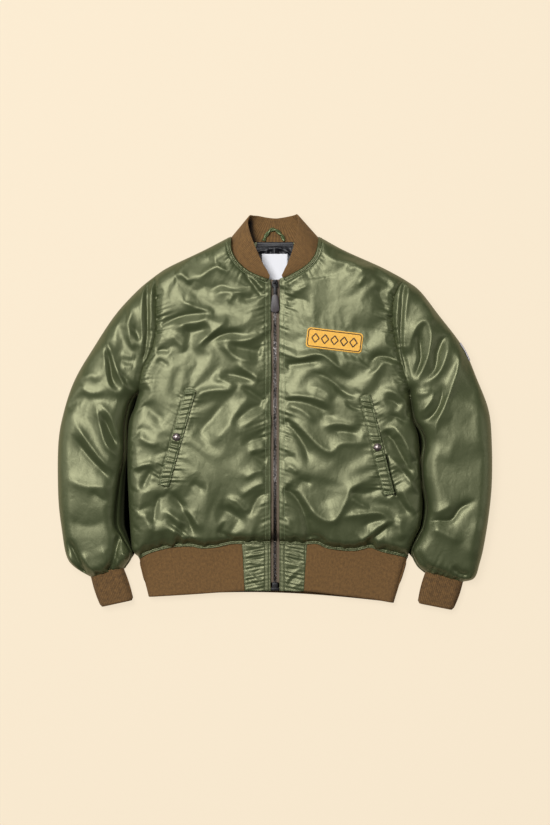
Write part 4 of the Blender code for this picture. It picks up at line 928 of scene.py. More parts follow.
SLEEVE_SIZE = (135, 560)
for half in SIDES:
    rows = stepped(SLEEVE_SIZE[1], GRID, 20, 40)
    columns = stepped(SLEEVE_SIZE[0], GRID, 42, 42)
    plan = sleeve_plan(half, rows, columns)
    over, near = dressed(half, "sleeve", plan, SLEEVE_FOLDS[half])
    under = raised(plan, form(half, "sleeve", plan, upper=False)[0])
    level_rims(over, under)
    # The underside needs fewer columns where it lies flat.
    count = len(columns)
    under = under[:, [*range(9), *range(12, count - 10, 4), *range(count - 7, count)]]
    lip = under_lip(half, under[:, -1])
    ring = np.concatenate([over, lip, under[:, -2::-1]], axis=1)
    sleeve = cloth_grid("sleeve_cloth_" + half, ring, satin, closed=True)
    # The underside is held fast, the roll half so, and the forearm is calmer than the upper arm.
    hold = np.clip(0.06 + 0.94 * (1 - eased(near / 10.0)), 0, 1)
    rolled = np.minimum(np.arange(count), np.arange(count)[::-1])
    hold = np.maximum(hold, 0.35 * (rolled < 8)[None])
    calm = 0.2 + 0.8 * eased((60 - plan[..., 1]) / 160)
    fast = np.ones((len(rows), ring.shape[1] - 1 - count))
    settle(sleeve, np.hstack([hold, fast]).reshape(-1), np.hstack([calm, fast]).reshape(-1), frames=12,
           spare=0.006, pressure=0.0)
    # The lip between sleeve and body gets painted shade: it is painted near black.
    shade(sleeve, lip)
    refined(sleeve, sleeve_puckers)
    thicken(sleeve, SATIN_WALL)
    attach(sleeve, "jacket")
    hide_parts("sleeve_" + half)

# ---------------------------------------------------------------------------------------------
# Knitted bands: cuffs and hem. Brown worsted rib, knitted double, so the ends are soft folds. The
# ribs run square to the seam, and the satin blouses over the seam.
RIB_WALL = 2.6
RIB_PITCH = 3.0


def rib_finish(name, size, mottling=0.7):
    """Rib knit: raised wales of yarn, with painted shade in the grooves between them, over a map of a
    width and length in mm. The last argument is how much its tone wanders, which also darkens it
    overall. Loose fibres give it a soft, pale bloom at a low angle."""
    rib, tree, shader = finish(name, Roughness=0.92, Sheen_Weight=0.35, Sheen_Roughness=0.5,
                               Sheen_Tint=colour("B08A5A"))
    place = node(tree, "ShaderNodeUVMap", {"uv_map": "cloth"})
    scale = node(tree, "ShaderNodeMapping", {"Scale": (size[0] / RIB_PITCH, size[1] / RIB_PITCH, 1.0)},
                 {"Vector": place.outputs["UV"]})
    wander = node(tree, "ShaderNodeTexNoise", {"Scale": 0.5, "Detail": 5.0, "Roughness": 0.75},
                  {"Vector": scale.outputs["Vector"]})
    wales = node(tree, "ShaderNodeTexWave", {"Scale": 0.314159, "Distortion": 0.6, "Detail": 1.0,
                                             "wave_type": "BANDS", "bands_direction": "X"},
                 {"Vector": scale.outputs["Vector"]})
    loops = node(tree, "ShaderNodeTexWave",
                 {"Scale": 0.62, "wave_type": "BANDS", "bands_direction": "Y"},
                 {"Vector": scale.outputs["Vector"]})
    yarn = node(tree, "ShaderNodeMath", {"operation": "MULTIPLY_ADD", 1: 0.25},
                {0: loops.outputs["Fac"], 2: wales.outputs["Fac"]})
    # Painted shade: the grooves between the wales are painted a darker brown.
    ramp = node(tree, "ShaderNodeValToRGB", links={"Fac": wales.outputs["Fac"]})
    ramp.color_ramp.elements[0].color = colour("6E4E28")
    ramp.color_ramp.elements[1].color = colour("866334")
    mottle = node(tree, "ShaderNodeMapRange",
                  {"From Min": 0.3, "From Max": 0.7, "To Min": 0.18, "To Max": 0.82},
                  {"Value": wander.outputs["Fac"]})
    patchy = node(tree, "ShaderNodeMix", {"data_type": "RGBA", "blend_type": "MULTIPLY", 0: mottling},
                  {6: ramp.outputs["Color"], 7: mottle.outputs["Result"]})
    bump = node(tree, "ShaderNodeBump", {"Strength": 0.6, "Distance": 0.0004},
                {"Height": yarn.outputs["Value"]})
    # Painted shade: points marked by shade() are painted near black.
    painted_shade = node(tree, "ShaderNodeAttribute", {"attribute_name": "painted_shade"})
    painted_shade_colour = node(tree, "ShaderNodeMix", {"data_type": "RGBA", 7: colour("0C0704")},
                {0: painted_shade.outputs["Fac"], 6: patchy.outputs[2]})
    tree.links.new(painted_shade_colour.outputs[2], shader.inputs["Base Color"])
    tree.links.new(bump.outputs["Normal"], shader.inputs["Normal"])
    return rib


# The cuffs' rib is mottled more strongly, so it is darker overall than the hem's and collar's: partly
# painted shade, where the cuffs lie low.
cuff_rib = rib_finish("brown rib knit, cuffs", (150, 62), mottling=0.9)
for half in SIDES:
    rows = np.concatenate([[-0.06], np.linspace(0, 1, 14)])
    columns = stepped(68, 2.5, 14, 14)
    outer, inner = (run[0] + np.outer(rows, run[1] - run[0])
                    for run in (CURVES[half]["cuff_outer"], CURVES[half]["cuff_inner"]))
    # It is a little wider half-way down, and its corners are rounded.
    bow = 0.02 * np.sin(math.pi * rows) - 0.05 * np.clip(rows - 0.93, 0, 1) / 0.07
    across = 0.5 + (columns[None] - 0.5) * (1 + 2 * bow[:, None])
    plan = outer[:, None] + (inner - outer)[:, None] * across[..., None]
    swell = np.sin(rows[:, None] * 2.2 + columns[None] * 3.0) * 0.8
    over = raised(plan, form(half, "cuff", plan)[0] + swell)
    under = raised(plan, form(half, "cuff", plan, upper=False)[0])
    level_rims(over, under)
    ring = np.concatenate([over, under[:, -2::-1]], axis=1)
    cuff = cloth_grid("cuff_knit_" + half, ring, cuff_rib, closed=True)
    thicken(cuff, RIB_WALL)
    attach(cuff, "jacket")
    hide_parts("cuff_" + half)

BLOCK_WIDTH = 53.3
HEM_HALF = 253
BACK_EDGE_RISE = 13.0
BACK_SEAM_RISE = 24.0


def hem_plan(half, shares, rows):
    """Plan points of the hem on one side, between shares of its seam's length from the zip."""
    seam = along_run(CURVES[half]["hem"], shares)
    edge = along_run(CURVES[half]["hem_edge"], shares)
    return seam[None] + (edge - seam)[None] * rows[:, None, None]


rows = np.concatenate([[-0.03], np.linspace(0, 1, 22)])
start = BLOCK_WIDTH / HEM_HALF
shares = start + (1 - start) * stepped(200, 2.8, 0, 18)
bands = {}
for half in SIDES:
    plan = hem_plan(half, shares, rows)
    drop = np.sin(plan[..., 0] / 17.0) * np.sin(plan[..., 1] / 29.0 + 1.0) * 0.7
    bands[half] = raised(plan, form(half, "rib", plan)[0] + drop)
across = stepped(500, 5.0, 18, 18)
right, left = (bands[half][:, -1] for half in SIDES)
under = right[:, None] + (left - right)[:, None] * across[None, :, None]
# Across the back it runs higher than a straight line between its ends.
arch = np.sin(math.pi * across)[None]
under[..., 1] += rows[:, None] * arch * BACK_EDGE_RISE + (1 - rows[:, None]) * arch * BACK_SEAM_RISE
under[..., 2] = under_form("rib", under[..., :2])
for half, end in (("right", 0), ("left", -1)):
    bands[half][:, -1, 2] = under[:, end, 2] = (bands[half][:, -1, 2] + under[:, end, 2]) / 2
band = np.concatenate([bands["right"], under[:, 1:-1], bands["left"][:, ::-1]], axis=1)
hem = cloth_grid("hem_knit", band, rib_finish("brown rib knit, hem", (920, 95)))
bm = bmesh.new()
bm.from_mesh(hem.data)
bmesh.ops.recalc_face_normals(bm, faces=bm.faces)
bm.normal_update()
middle = max(bm.faces, key=lambda face: face.calc_center_median().z)
if middle.normal.z < 0:
    bmesh.ops.reverse_faces(bm, faces=bm.faces)
bm.to_mesh(hem.data)
bm.free()
thicken(hem, RIB_WALL)
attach(hem, "jacket")
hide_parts("hem_rib")

# ---------------------------------------------------------------------------------------------
# Satin blocks that end the hem beside the zip. Each is turned over a stiffening and double-stitched
# in a strip at either end, so it ruches crosswise between them.
BLOCK_FOLDS = {
    "right": folds("""
  1.8    3    3  -56,-252 -38,-255 -20,-253
 -2.4    4    3  -55,-262 -36,-264 -19,-261
    2    3    4  -54,-267 -38,-269 -20,-268
 -2.6    4    3  -54,-273 -44,-279 -20,-277
  2.2  2.5    3  -54,-281 -40,-287 -20,-284
 -1.6    3    3  -52,-290 -42,-291 -20,-288
 -2.6    4    4  -53,-295 -42,-303 -21,-294
    3    4    6  -53,-299 -36,-316 -18,-334
 -1.8    3    3  -44,-307 -32,-310 -21,-314
 -2.4    4    4  -54,-314 -44,-322 -32,-330
    """),
    "left": folds("""
  2.2  2.5    3  20,-254 38,-256 50,-262
 -2.8    4    3  22,-258 36,-262 54,-268
  2.2    4    4  19,-264 34,-268 52,-276
 -2.8    4    3  19,-272 36,-281 54,-287
    2  2.5    3  19,-280 36,-287 54,-290
   -2    3    3  20,-293 32,-297 48,-296
  2.6    5    4  54,-293 34,-306 16,-330
 -2.6    5    5  50,-308 34,-316 22,-330
  1.8    3    3  54,-318 44,-326 30,-334
    """),
}
for half in SIDES:
    plan = hem_plan(half, np.linspace(0, 1, 40) * start, np.linspace(0, 1, 62))
    height = form(half, "rib", plan)[0]
    x = abs(plan[..., 0])
    between = eased((x - 19) / 3) * eased((56.5 - x) / 3)
    wrinkle = 0.45 * creases(plan, BLOCK_FOLDS[half]) * between
    wrinkle += ripple(plan[..., 1] + 0.2 * x, 2.2 + SIDES[half], 7.0) * (0.45 * between + 0.12)
    strips = -0.9 * sum(np.exp(-((x - place) / 1.1) ** 2) for place in (11.0, 18.6, 57.4, 60.6))
    block = cloth_grid("hem_block_cloth_" + half, raised(plan, height + 0.6 + wrinkle + strips), satin)
    thicken(block, 1.6)
    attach(block, "jacket")
    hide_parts("hem_block_" + half)

# ---------------------------------------------------------------------------------------------
# Turned edge of the satin at the hem and cuff seams. The padded cloth is folded under, double-
# stitched to the rib and rolls a little over it, so a pale narrow welt runs along each seam.
def rolled_edge(name, line, lift, width=6.4):
    """A narrow ridge with two rounds and a stitched groove between, along a plan line."""
    total = run_length(line)
    run = along_run(line, np.linspace(0, 1, round(total / 1.8)))
    aside = leftward(unit(np.gradient(run, axis=0)))
    aside *= -np.sign(aside[:, 1:])
    across = np.linspace(-1, 1, 15)
    plan = run[:, None] + aside[:, None] * across[None, :, None] * width / 2
    ridge = 2.5 * rounded((1 - abs(across)) / 0.45) - 1.1 * np.exp(-((across - 0.1) / 0.16) ** 2)
    length = np.linspace(0, total, len(run))
    wrinkle = 0.35 * ripple(length[:, None] + 1.2 * across[None], 3.0, 5.5)
    height = lift(plan) + ridge[None] + wrinkle * (1 - across[None] ** 2)
    strip = cloth_grid(name, raised(plan, height), satin)
    thicken(strip, 1.0)
    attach(strip, "jacket")


for half, side in SIDES.items():
    rolled_edge("hem_turned_edge_" + half, CURVES[half]["hem"] + np.array([0, -1.0]),
                lambda plan: np.minimum(form(half, "rib", plan)[0] + 0.4, RIB_LOFT + 0.6))
    rolled_edge("neck_turned_edge_" + half, CURVES[half]["neck"] + np.array([side * 2.6, -2.6]),
                lambda plan: form(half, "body", plan)[0] + 0.5, width=7.0)

# ---------------------------------------------------------------------------------------------
# Collar. A band of the same rib, knitted double, sewn round the neck. It lies flat in front and
# folds over at each side of the neck, where the back of it lies under.
# A point of the seam, the point of the edge over it, and the angle its face looks up at.
COLLAR = [
    ((-12, 251.5, 45.0), (-10, 256.5, 48), 90),
    ((-30, 259.0, 46.0), (-17, 269.5, 49.5), 90),
    ((-47.5, 267.0, 46.5), (-25, 283.0, 50), 90),
    ((-60, 276.0, 46.5), (-34.5, 303.5, 51), 90),
    ((-70, 287.0, 46.0), (-42.5, 323.0, 51), 84),
    ((-77.5, 300.0, 43.0), (-49.8, 345.0, 47), 68),
    ((-82, 313.0, 36.0), (-52.5, 361.0, 39), 42),
    ((-84.2, 326.0, 26.0), (-49.0, 373.5, 25), 4),
    ((-83.5, 332.0, 14.0), (-42.0, 374.5, 12), -40),
    ((-66, 330.0, 3.0), (-33.0, 374.0, 5), -75),
    ((-40, 327.0, 1.2), (-17, 371.0, 1.4), -90),
    ((0, 326.0, 1.2), (1, 369.0, 1.4), -90),
    ((40, 327.0, 1.2), (17, 371.0, 1.4), -90),
    ((66, 330.0, 3.0), (32.0, 374.0, 5), -75),
    ((82.5, 332.0, 14.0), (38.0, 375.3, 12), -40),
    ((83.2, 326.0, 26.0), (43.5, 375.3, 25), 4),
    ((81, 313.0, 36.0), (45.7, 362.0, 39), 42),
    ((77, 301.0, 43.0), (43.2, 348.0, 47), 68),
    ((71, 290.0, 46.0), (39.3, 328.0, 51), 84),
    ((62, 281.0, 46.5), (33.5, 304.0, 51), 90),
    ((50, 273.0, 46.5), (26, 284.5, 50), 90),
    ((33, 263.0, 46.0), (19, 269.5, 49.5), 90),
    ((15, 253.0, 45.0), (13, 257.5, 48), 90),
]
seams, edges = (smooth_run([row[k] for row in COLLAR], 10) for k in (0, 1))
turns = np.interp(np.linspace(0, 1, len(seams)), np.linspace(0, 1, len(COLLAR)),
                  [turn for _, _, turn in COLLAR])
outward = np.stack([np.where(seams[:, 0] < 0, -0.74, 0.74), np.full(len(seams), 0.67)], axis=-1)
angle = np.radians(turns)[:, None]
look = unit(np.concatenate([outward * np.cos(angle), np.sin(angle)], axis=-1))[:, None]
rise = np.linspace(-0.05, 1, 18)
swell = 1.1 * np.sin(math.pi * np.clip(rise, 0, 1))
face = seams[:, None] + (edges - seams)[:, None] * rise[None, :, None] + look * swell[None, :, None]
rim = unit(edges - seams)[:, None]
bend = np.radians([30, 60, 90, 120, 150])[None, :, None]
half_wall = RIB_WALL / 2
fold = edges[:, None] - look * half_wall + (look * np.cos(bend) + rim * np.sin(bend)) * half_wall
inner = (face - look * RIB_WALL)[:, ::-1]
loop = np.concatenate([face, fold, inner, face[:, :1]], axis=1)
collar_rib = rib_finish("brown rib knit, collar", (400, 95))
collar = cloth_grid("collar_knit", loop.transpose(1, 0, 2), collar_rib)
bm = bmesh.new()
bm.from_mesh(collar.data)
bmesh.ops.remove_doubles(bm, verts=bm.verts, dist=1e-6)
bmesh.ops.holes_fill(bm, edges=[e for e in bm.edges if e.is_boundary], sides=0)
bmesh.ops.recalc_face_normals(bm, faces=bm.faces)
bm.to_mesh(collar.data)
bm.free()
# Its front edge on the right stands clear of the back of the neck; the back of the neck beside it gets a
# painted shadow, near black.
painted_shadow_line = along_run(np.array([(-48, 362, 9), (-45, 344, 8), (-40, 322, 7), (-33, 300, 6)], float),
                       np.linspace(0, 1, 40))
shade(collar, painted_shadow_line, 8.0)
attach(collar, "jacket")
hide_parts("collar")

# ---------------------------------------------------------------------------------------------
# Inside of the neck. A charcoal lining, quilted in with the wadding, so it crinkles; a facing strip
# is sewn flat along the neck seam. A plain white woven label is stitched to it by its top.
LINING_DEPTH = 84.0
LINING_HALF_TOP = 34.0
LINING_HALF_FOOT = 58.0
LINING_FOLDS = folds("""
  2.4    3  2.5  -40,300 -31,306 -18,309 -6,312.5 5,313.5 19,309 28,304 38,292 start=0.05 end=0.05
   -2    3    3  -25,300 -24,308
  1.6    2    2  -17,299 -15,309
 -2.2    3    3  -11,300 -8,311
    2    2  2.5  -2,298 0,313
 -2.4    4    4  9,300 9,311
  1.5    2    2  20,298 19,308
 -1.8    3    3  26,296 25,305
""")
# Nylon taffeta: near black, with a weak, slightly blue shine on its creases.
charcoal, lining_tree, lining_shader = finish(
    "charcoal nylon lining", Base_Color=colour("121216"), Roughness=0.4, Metallic=0.1,
    Specular_IOR_Level=0.35)
weave_bump(lining_tree, lining_shader, (100, 84), (0.8, 1.6), 0.15, 0.42, 0.04)
rows = np.linspace(0, 1, 46)
columns = np.linspace(-1, 1, 61)
half_width = LINING_HALF_TOP + (LINING_HALF_FOOT - LINING_HALF_TOP) * rows
x = half_width[:, None] * columns[None]
y = (NAPE_Y - 0.6 - LINING_DEPTH * rows)[:, None] + 0 * x
plan = np.stack([x, y], axis=-1)
strip = NAPE_Y - 8.0 - y
height = 6.0 + 1.6 * eased(strip / 3) - 0.9 * np.exp(-(strip / 0.9) ** 2)
height += creases(plan, LINING_FOLDS) + 0.25 * ripple(x + 0.4 * y, 2.0, 9.0) * eased(strip / 4)
lining = cloth_grid("lining_cloth", raised(plan, height), charcoal)
thicken(lining, 0.6)
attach(lining, "jacket")
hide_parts("lining_back_neck")

# Woven polyester: a tight, matt, slightly bluish white with fine ribs.
LABEL_SIZE = (49, 56)
LABEL_TOP = (-0.5, 302.0, 11.0)
white, label_tree, label_shader = finish(
    "white woven label", Base_Color=colour("DADADE"), Roughness=0.75)
weave_bump(label_tree, label_shader, LABEL_SIZE, (3.0, 0.6), 0.4, 0.75, 0.05)
down, across = np.meshgrid(np.linspace(0, 1, 22), np.linspace(-0.5, 0.5, 20), indexing="ij")
x = LABEL_TOP[0] + LABEL_SIZE[0] * across
y = LABEL_TOP[1] - LABEL_SIZE[1] * down
height = LABEL_TOP[2] + 1.5 * down ** 2 + 0.6 * np.sin(x / 9.0 + 0.6) * down
label = cloth_grid("label_cloth", np.stack([x, y, height], axis=-1), white)
thicken(label, 0.5)
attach(label, "jacket")
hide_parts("label")

# ---------------------------------------------------------------------------------------------
# Hanger loop. Two narrow tubes of the satin twisted together, caught in the neck seam by both ends.
LOOP = [(-21, 327, 5.6), (-19, 334, 5.8), (-11, 345, 6.2), (-4, 349, 6.4), (4, 346, 6.2),
        (13, 337, 5.8), (18, 327, 5.6)]
UP = np.array([0, 0, 1.0])


def skin(bm, rings):
    """Adds a closed skin over rings of 3-D points in millimetres, with a face over each end."""
    made = [[bm.verts.new(Vector(p) * MM) for p in ring] for ring in rings]
    for low, high in zip(made, made[1:]):
        for i in range(len(low)):
            bm.faces.new((low[i], low[i - 1], high[i - 1], high[i]))
    bm.faces.new(made[0])
    bm.faces.new(made[-1][::-1])


def tube(bm, path, radius, sides=8):
    """Adds a closed round tube along a path of 3-D points in millimetres."""
    along = unit(np.gradient(path, axis=0))
    across = unit(np.cross(along, UP))
    rise = np.cross(across, along)
    around = np.linspace(0, 2 * math.pi, sides, endpoint=False)[None, :, None]
    out = across[:, None] * np.cos(around) + rise[:, None] * np.sin(around)
    skin(bm, path[:, None] + radius * out)


path = along_run(smooth_run(LOOP, 8), np.linspace(0, 1, 60))
turns = np.linspace(0, 4.5 * math.pi, len(path))[:, None]
aside = unit(np.cross(np.gradient(path, axis=0), UP))
bm = bmesh.new()
for phase in (0, math.pi):
    strand = path + 1.7 * (aside * np.cos(turns + phase) + UP * np.sin(turns + phase))
    tube(bm, strand, 2.1)
bmesh.ops.recalc_face_normals(bm, faces=bm.faces)
# The loop's satin is a lighter, slightly glossier copy of the flight satin: the lighter colour is
# painted sheen.
tube_satin_painted_sheen = finish("satin in narrow tubes", Base_Color=colour("5A6642"), Roughness=0.38,
                    Metallic=0.4)[0]
loop = piece_from(bm, "hanger_loop_cord", tube_satin_painted_sheen)
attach(loop, "jacket")
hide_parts("hanger_loop")

# ---------------------------------------------------------------------------------------------
# Pocket welts. Each is a folded strip of the satin over a slanted hand pocket, stitched down both
# long sides and barred at both ends, so the stitching ruches it.
def under_strip(half, plan, reach=3.0):
    """The highest the front's face stands at and just around plan points."""
    around = [(0, 0), (reach, 0), (-reach, 0), (0, reach), (0, -reach)]
    return np.nanmax([FACE[half](plan + np.array(step)) for step in around], axis=0)


# Painted shade: the pocket's mouth on the left front is painted near black.
mouth = along_run(SLIT, np.linspace(0, 1, 60))
shade(fronts["left"], raised(mouth, FACE["left"](mouth)), 2.2)
WELT = {}
for half in SIDES:
    top, along, aside, length = welt_frame(half)
    down = np.linspace(0, length, 150)[:, None]
    over = np.linspace(-WELT_WIDTH / 2, WELT_WIDTH / 2, 20)[None]
    plan = top + down[..., None] * along + over[..., None] * aside
    near_edge = WELT_WIDTH / 2 - abs(over)
    slant = down + (0.25 + 0.25 * np.sin(down / 26.0)) * over * -SIDES[half]
    ruche = ripple(slant, 1.3 + SIDES[half], 9.5) * (0.7 + 0.3 * np.sin(down / 15.0 + 1.0)) * 1.25
    pillow = 1.2 * rounded(near_edge / 5.0)
    groove = -0.8 * np.exp(-((near_edge - WELT_STITCH) / 0.9) ** 2)
    height = under_strip(half, plan) + 1.6 + pillow + groove + ruche * eased(near_edge / 3.0)
    welt = cloth_grid("pocket_welt_cloth_" + half, raised(plan, height), satin)
    WELT[half] = surface_of(welt)
    thicken(welt, 1.2)
    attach(welt, "jacket")
    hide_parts("pocket_welt_" + half)

# Snaps: a domed cap of antiqued brass, worn to a pale grey on the dome.
SNAP_PROFILE = [(0.0, 4.8), (1.6, 4.7), (3.2, 4.3), (4.7, 3.6), (6.0, 2.6), (6.9, 1.6), (7.5, 0.7),
                (7.7, 0.0), (0.0, 0.0)]
snap_metal, snap_tree, snap_shader = finish(
    "antiqued brass snap", Base_Color=colour("8D817E"), Roughness=0.34, Metallic=0.9)
spots = node(snap_tree, "ShaderNodeTexNoise", {"Scale": 900.0, "Detail": 3.0},
             {"Vector": node(snap_tree, "ShaderNodeTexCoord").outputs["Object"]})
mottling = node(snap_tree, "ShaderNodeMapRange",
            {"From Min": 0.35, "From Max": 0.65, "To Min": 0.24, "To Max": 0.5},
            {"Value": spots.outputs["Fac"]})
snap_tree.links.new(mottling.outputs["Result"], snap_shader.inputs["Roughness"])
for half in SIDES:
    x, y = WELTS[half]["snap"]
    base = float(WELT[half](np.array([[x, y]], float))[0]) - 0.2
    bm = bmesh.new()
    line = [bm.verts.new((radius * MM, 0, z * MM)) for radius, z in SNAP_PROFILE]
    edges_made = [bm.edges.new(pair) for pair in zip(line, line[1:])]
    bmesh.ops.spin(bm, geom=line + edges_made, axis=(0, 0, 1), cent=(0, 0, 0), steps=36,
                   angle=2 * math.pi)
    bmesh.ops.remove_doubles(bm, verts=bm.verts, dist=1e-6)
    bmesh.ops.recalc_face_normals(bm, faces=bm.faces)
    bmesh.ops.translate(bm, verts=bm.verts, vec=Vector((x, y, base)) * MM)
    cap = piece_from(bm, "snap_cap_" + half, snap_metal)
    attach(cap, "jacket")
    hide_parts("snap_" + half)

# ---------------------------------------------------------------------------------------------
# Chest patch. A rectangle of twill covered in golden embroidery, edged and barred in dark brown
# thread, sewn to the left chest. The lozenges are a plain sample pattern.
def patch_place(along, aside):
    """Plan points of the chest patch from distances along and across it."""
    turn = math.radians(PATCH["angle"])
    return np.stack([PATCH["centre"][0] + along * math.cos(turn) - aside * math.sin(turn),
                     PATCH["centre"][1] + along * math.sin(turn) + aside * math.cos(turn)], axis=-1)


# Rayon thread, laid in slanting rows: each row is lit and shaded along its length.
gold, gold_tree, gold_shader = finish(
    "golden embroidery thread", Base_Color=colour("E8B03C"), Roughness=0.55, Sheen_Weight=0.2)
turned = node(gold_tree, "ShaderNodeMapping", {"Rotation": (0, 0, math.radians(38))},
              {"Vector": node(gold_tree, "ShaderNodeTexCoord").outputs["Object"]})
strands = node(gold_tree, "ShaderNodeTexWave", {"Scale": 420.0, "Distortion": 1.5, "Detail": 2.0},
               {"Vector": turned.outputs["Vector"]})
tone = node(gold_tree, "ShaderNodeValToRGB", links={"Fac": strands.outputs["Fac"]})
tone.color_ramp.elements[0].color = colour("D99A2B")
tone.color_ramp.elements[1].color = colour("F0BE50")
lift = node(gold_tree, "ShaderNodeBump", {"Strength": 0.6, "Distance": 0.0003},
            {"Height": strands.outputs["Fac"]})
gold_tree.links.new(tone.outputs["Color"], gold_shader.inputs["Base Color"])
gold_tree.links.new(lift.outputs["Normal"], gold_shader.inputs["Normal"])

half_length, half_width = PATCH["length"] / 2, PATCH["width"] / 2
along = np.linspace(-half_length, half_length, 60)[None]
aside = np.linspace(-half_width, half_width, 24)[:, None]
plan = patch_place(along * (1 - 0.035 * np.clip(1 - (half_width - abs(aside)) / 4.0, 0, 1) ** 2),
                   aside * (1 - 0.12 * np.clip(1 - (half_length - abs(along)) / 4.0, 0, 1) ** 2))
patch = cloth_grid("chest_patch_cloth", raised(plan, under_strip("left", plan) + 1.4), gold)
PATCH_FACE = surface_of(patch)
thicken(patch, 1.2)
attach(patch, "jacket")
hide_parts("chest_patch")

brown_thread, thread_tree, thread_shader = finish(
    "dark brown embroidery thread", Base_Color=colour("3A2414"), Roughness=0.6)
strands = node(thread_tree, "ShaderNodeTexWave", {"Scale": 500.0, "Distortion": 1.0},
               {"Vector": node(thread_tree, "ShaderNodeTexCoord").outputs["Object"]})
lift = node(thread_tree, "ShaderNodeBump", {"Strength": 0.5, "Distance": 0.0003},
            {"Height": strands.outputs["Fac"]})
thread_tree.links.new(lift.outputs["Normal"], thread_shader.inputs["Normal"])


def satin_stitch(bm, line, width, rise, heights):
    """Adds a raised bar of embroidery along a plan line: a low half-round on a surface."""
    line = np.array(line, float)
    run = along_run(line, np.linspace(0, 1, max(3, round(run_length(line) / 1.5))))
    sideways = leftward(unit(np.gradient(run, axis=0)))
    skin(bm, [[(*(point + out * width / 2 * math.cos(a)), z - 0.1 + rise * math.sin(a))
               for a in np.linspace(0, math.pi, 6)]
              for point, out, z in zip(run, sideways, heights(run))])


bm = bmesh.new()
border = [(-50, -13), (-47, -16), (47, -16), (50, -13), (50, 13), (47, 16), (-47, 16), (-50, 13),
          (-50, -13)]
satin_stitch(bm, [patch_place(a, b) for a, b in border], 1.9, 0.6, PATCH_FACE)
for middle in range(-36, 37, 18):
    lozenge = [(middle - 7, 0), (middle, 8.5), (middle + 7, 0), (middle, -8.5), (middle - 7, 0)]
    satin_stitch(bm, [patch_place(a, b) for a, b in lozenge], 2.4, 0.6, PATCH_FACE)
bmesh.ops.recalc_face_normals(bm, faces=bm.faces)
motif = piece_from(bm, "chest_patch_motif", brown_thread)
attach(motif, "jacket")

# ---------------------------------------------------------------------------------------------
# Sleeve patch. A small pale woven flag of cloth, unprinted, wrapped round the outer edge of the left
# sleeve and sewn down.
bm = bmesh.new()
depsgraph = bpy.context.evaluated_depsgraph_get()
bm.from_object(bpy.data.objects["sleeve_cloth_left"], depsgraph)
sleeve_tree = BVHTree.FromBMesh(bm)
bm.free()
FLAG_TOP = 134.0
FLAG_LENGTH = 38.0
run = CURVES["left"]["sleeve_outer"]
run = run[int(np.argmin(abs(run[:, 1] - FLAG_TOP))):]
path = along_run(run, np.linspace(0, FLAG_LENGTH, 14) / run_length(run))
outward = leftward(unit(np.gradient(path, axis=0)))
outward *= np.sign(outward[:, :1])
rows = []
for point, out in zip(path, outward):
    centre = Vector((*(point - out * 26.0), 22.0)) * MM
    row = []
    for angle in np.radians(np.linspace(34, -50, 13)):
        ray = Vector((*(out * math.cos(angle)), math.sin(angle))).normalized()
        hit = sleeve_tree.ray_cast(centre + ray * 0.2, -ray)[0]
        row.append(np.array(hit + ray * 0.0009) / MM)
    rows.append(row)
pale, pale_tree, pale_shader = finish("pale woven patch", Base_Color=colour("CBC5C9"), Roughness=0.8)
weave_bump(pale_tree, pale_shader, (50, FLAG_LENGTH), (1.0, 1.0), 0.4, 0.8, 0.05)
flag = cloth_grid("sleeve_patch_cloth", np.array(rows), pale)
thicken(flag, 0.7)
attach(flag, "jacket")
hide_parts("sleeve_patch")

# ---------------------------------------------------------------------------------------------
# Zip. Brown-grey woven tapes under the fronts' edges carry blackened metal teeth. The box holds the
# foot of both, and the slider at the top carries the pull.
FLY_X = 12.5
TAPE_DROP = 4.2
ZIP_FOOT = -338.5
fly_y = np.linspace(-244, 250, 60)
fly_rows = np.nanmin([FACE[half](np.stack([side * FLY_X + 0 * fly_y, fly_y], axis=-1))
                      for half, side in SIDES.items()], axis=0)


def fly(y):
    """Height of the zip's tape: a little under both fronts' edges, level in the hem, and rising
    smoothly over the seam between."""
    window = [np.interp(y + step, fly_y, fly_rows) for step in (-14, -7, 0, 7, 14)]
    body = np.mean(window, axis=0)
    return body + (RIB_LOFT - body) * eased((-228 - np.asarray(y)) / 20.0) - TAPE_DROP


tape_cloth, tape_tree, tape_shader = finish(
    "brown-grey woven zip tape", Base_Color=colour("5F5141"), Roughness=0.8)
weave_bump(tape_tree, tape_shader, (12, 575), (1.2, 1.2), 0.5, 0.8, 0.08)
for half, side in SIDES.items():
    x, y = np.meshgrid(side * np.linspace(2.2, 14.0, 8), np.linspace(ZIP_FOOT + 15, 251, 200))
    tape = cloth_grid("zip_tape_cloth_" + half, np.stack([x, y, fly(y)], axis=-1), tape_cloth)
    thicken(tape, 0.9)
    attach(tape, "jacket")
    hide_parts("zip_tape_" + half)

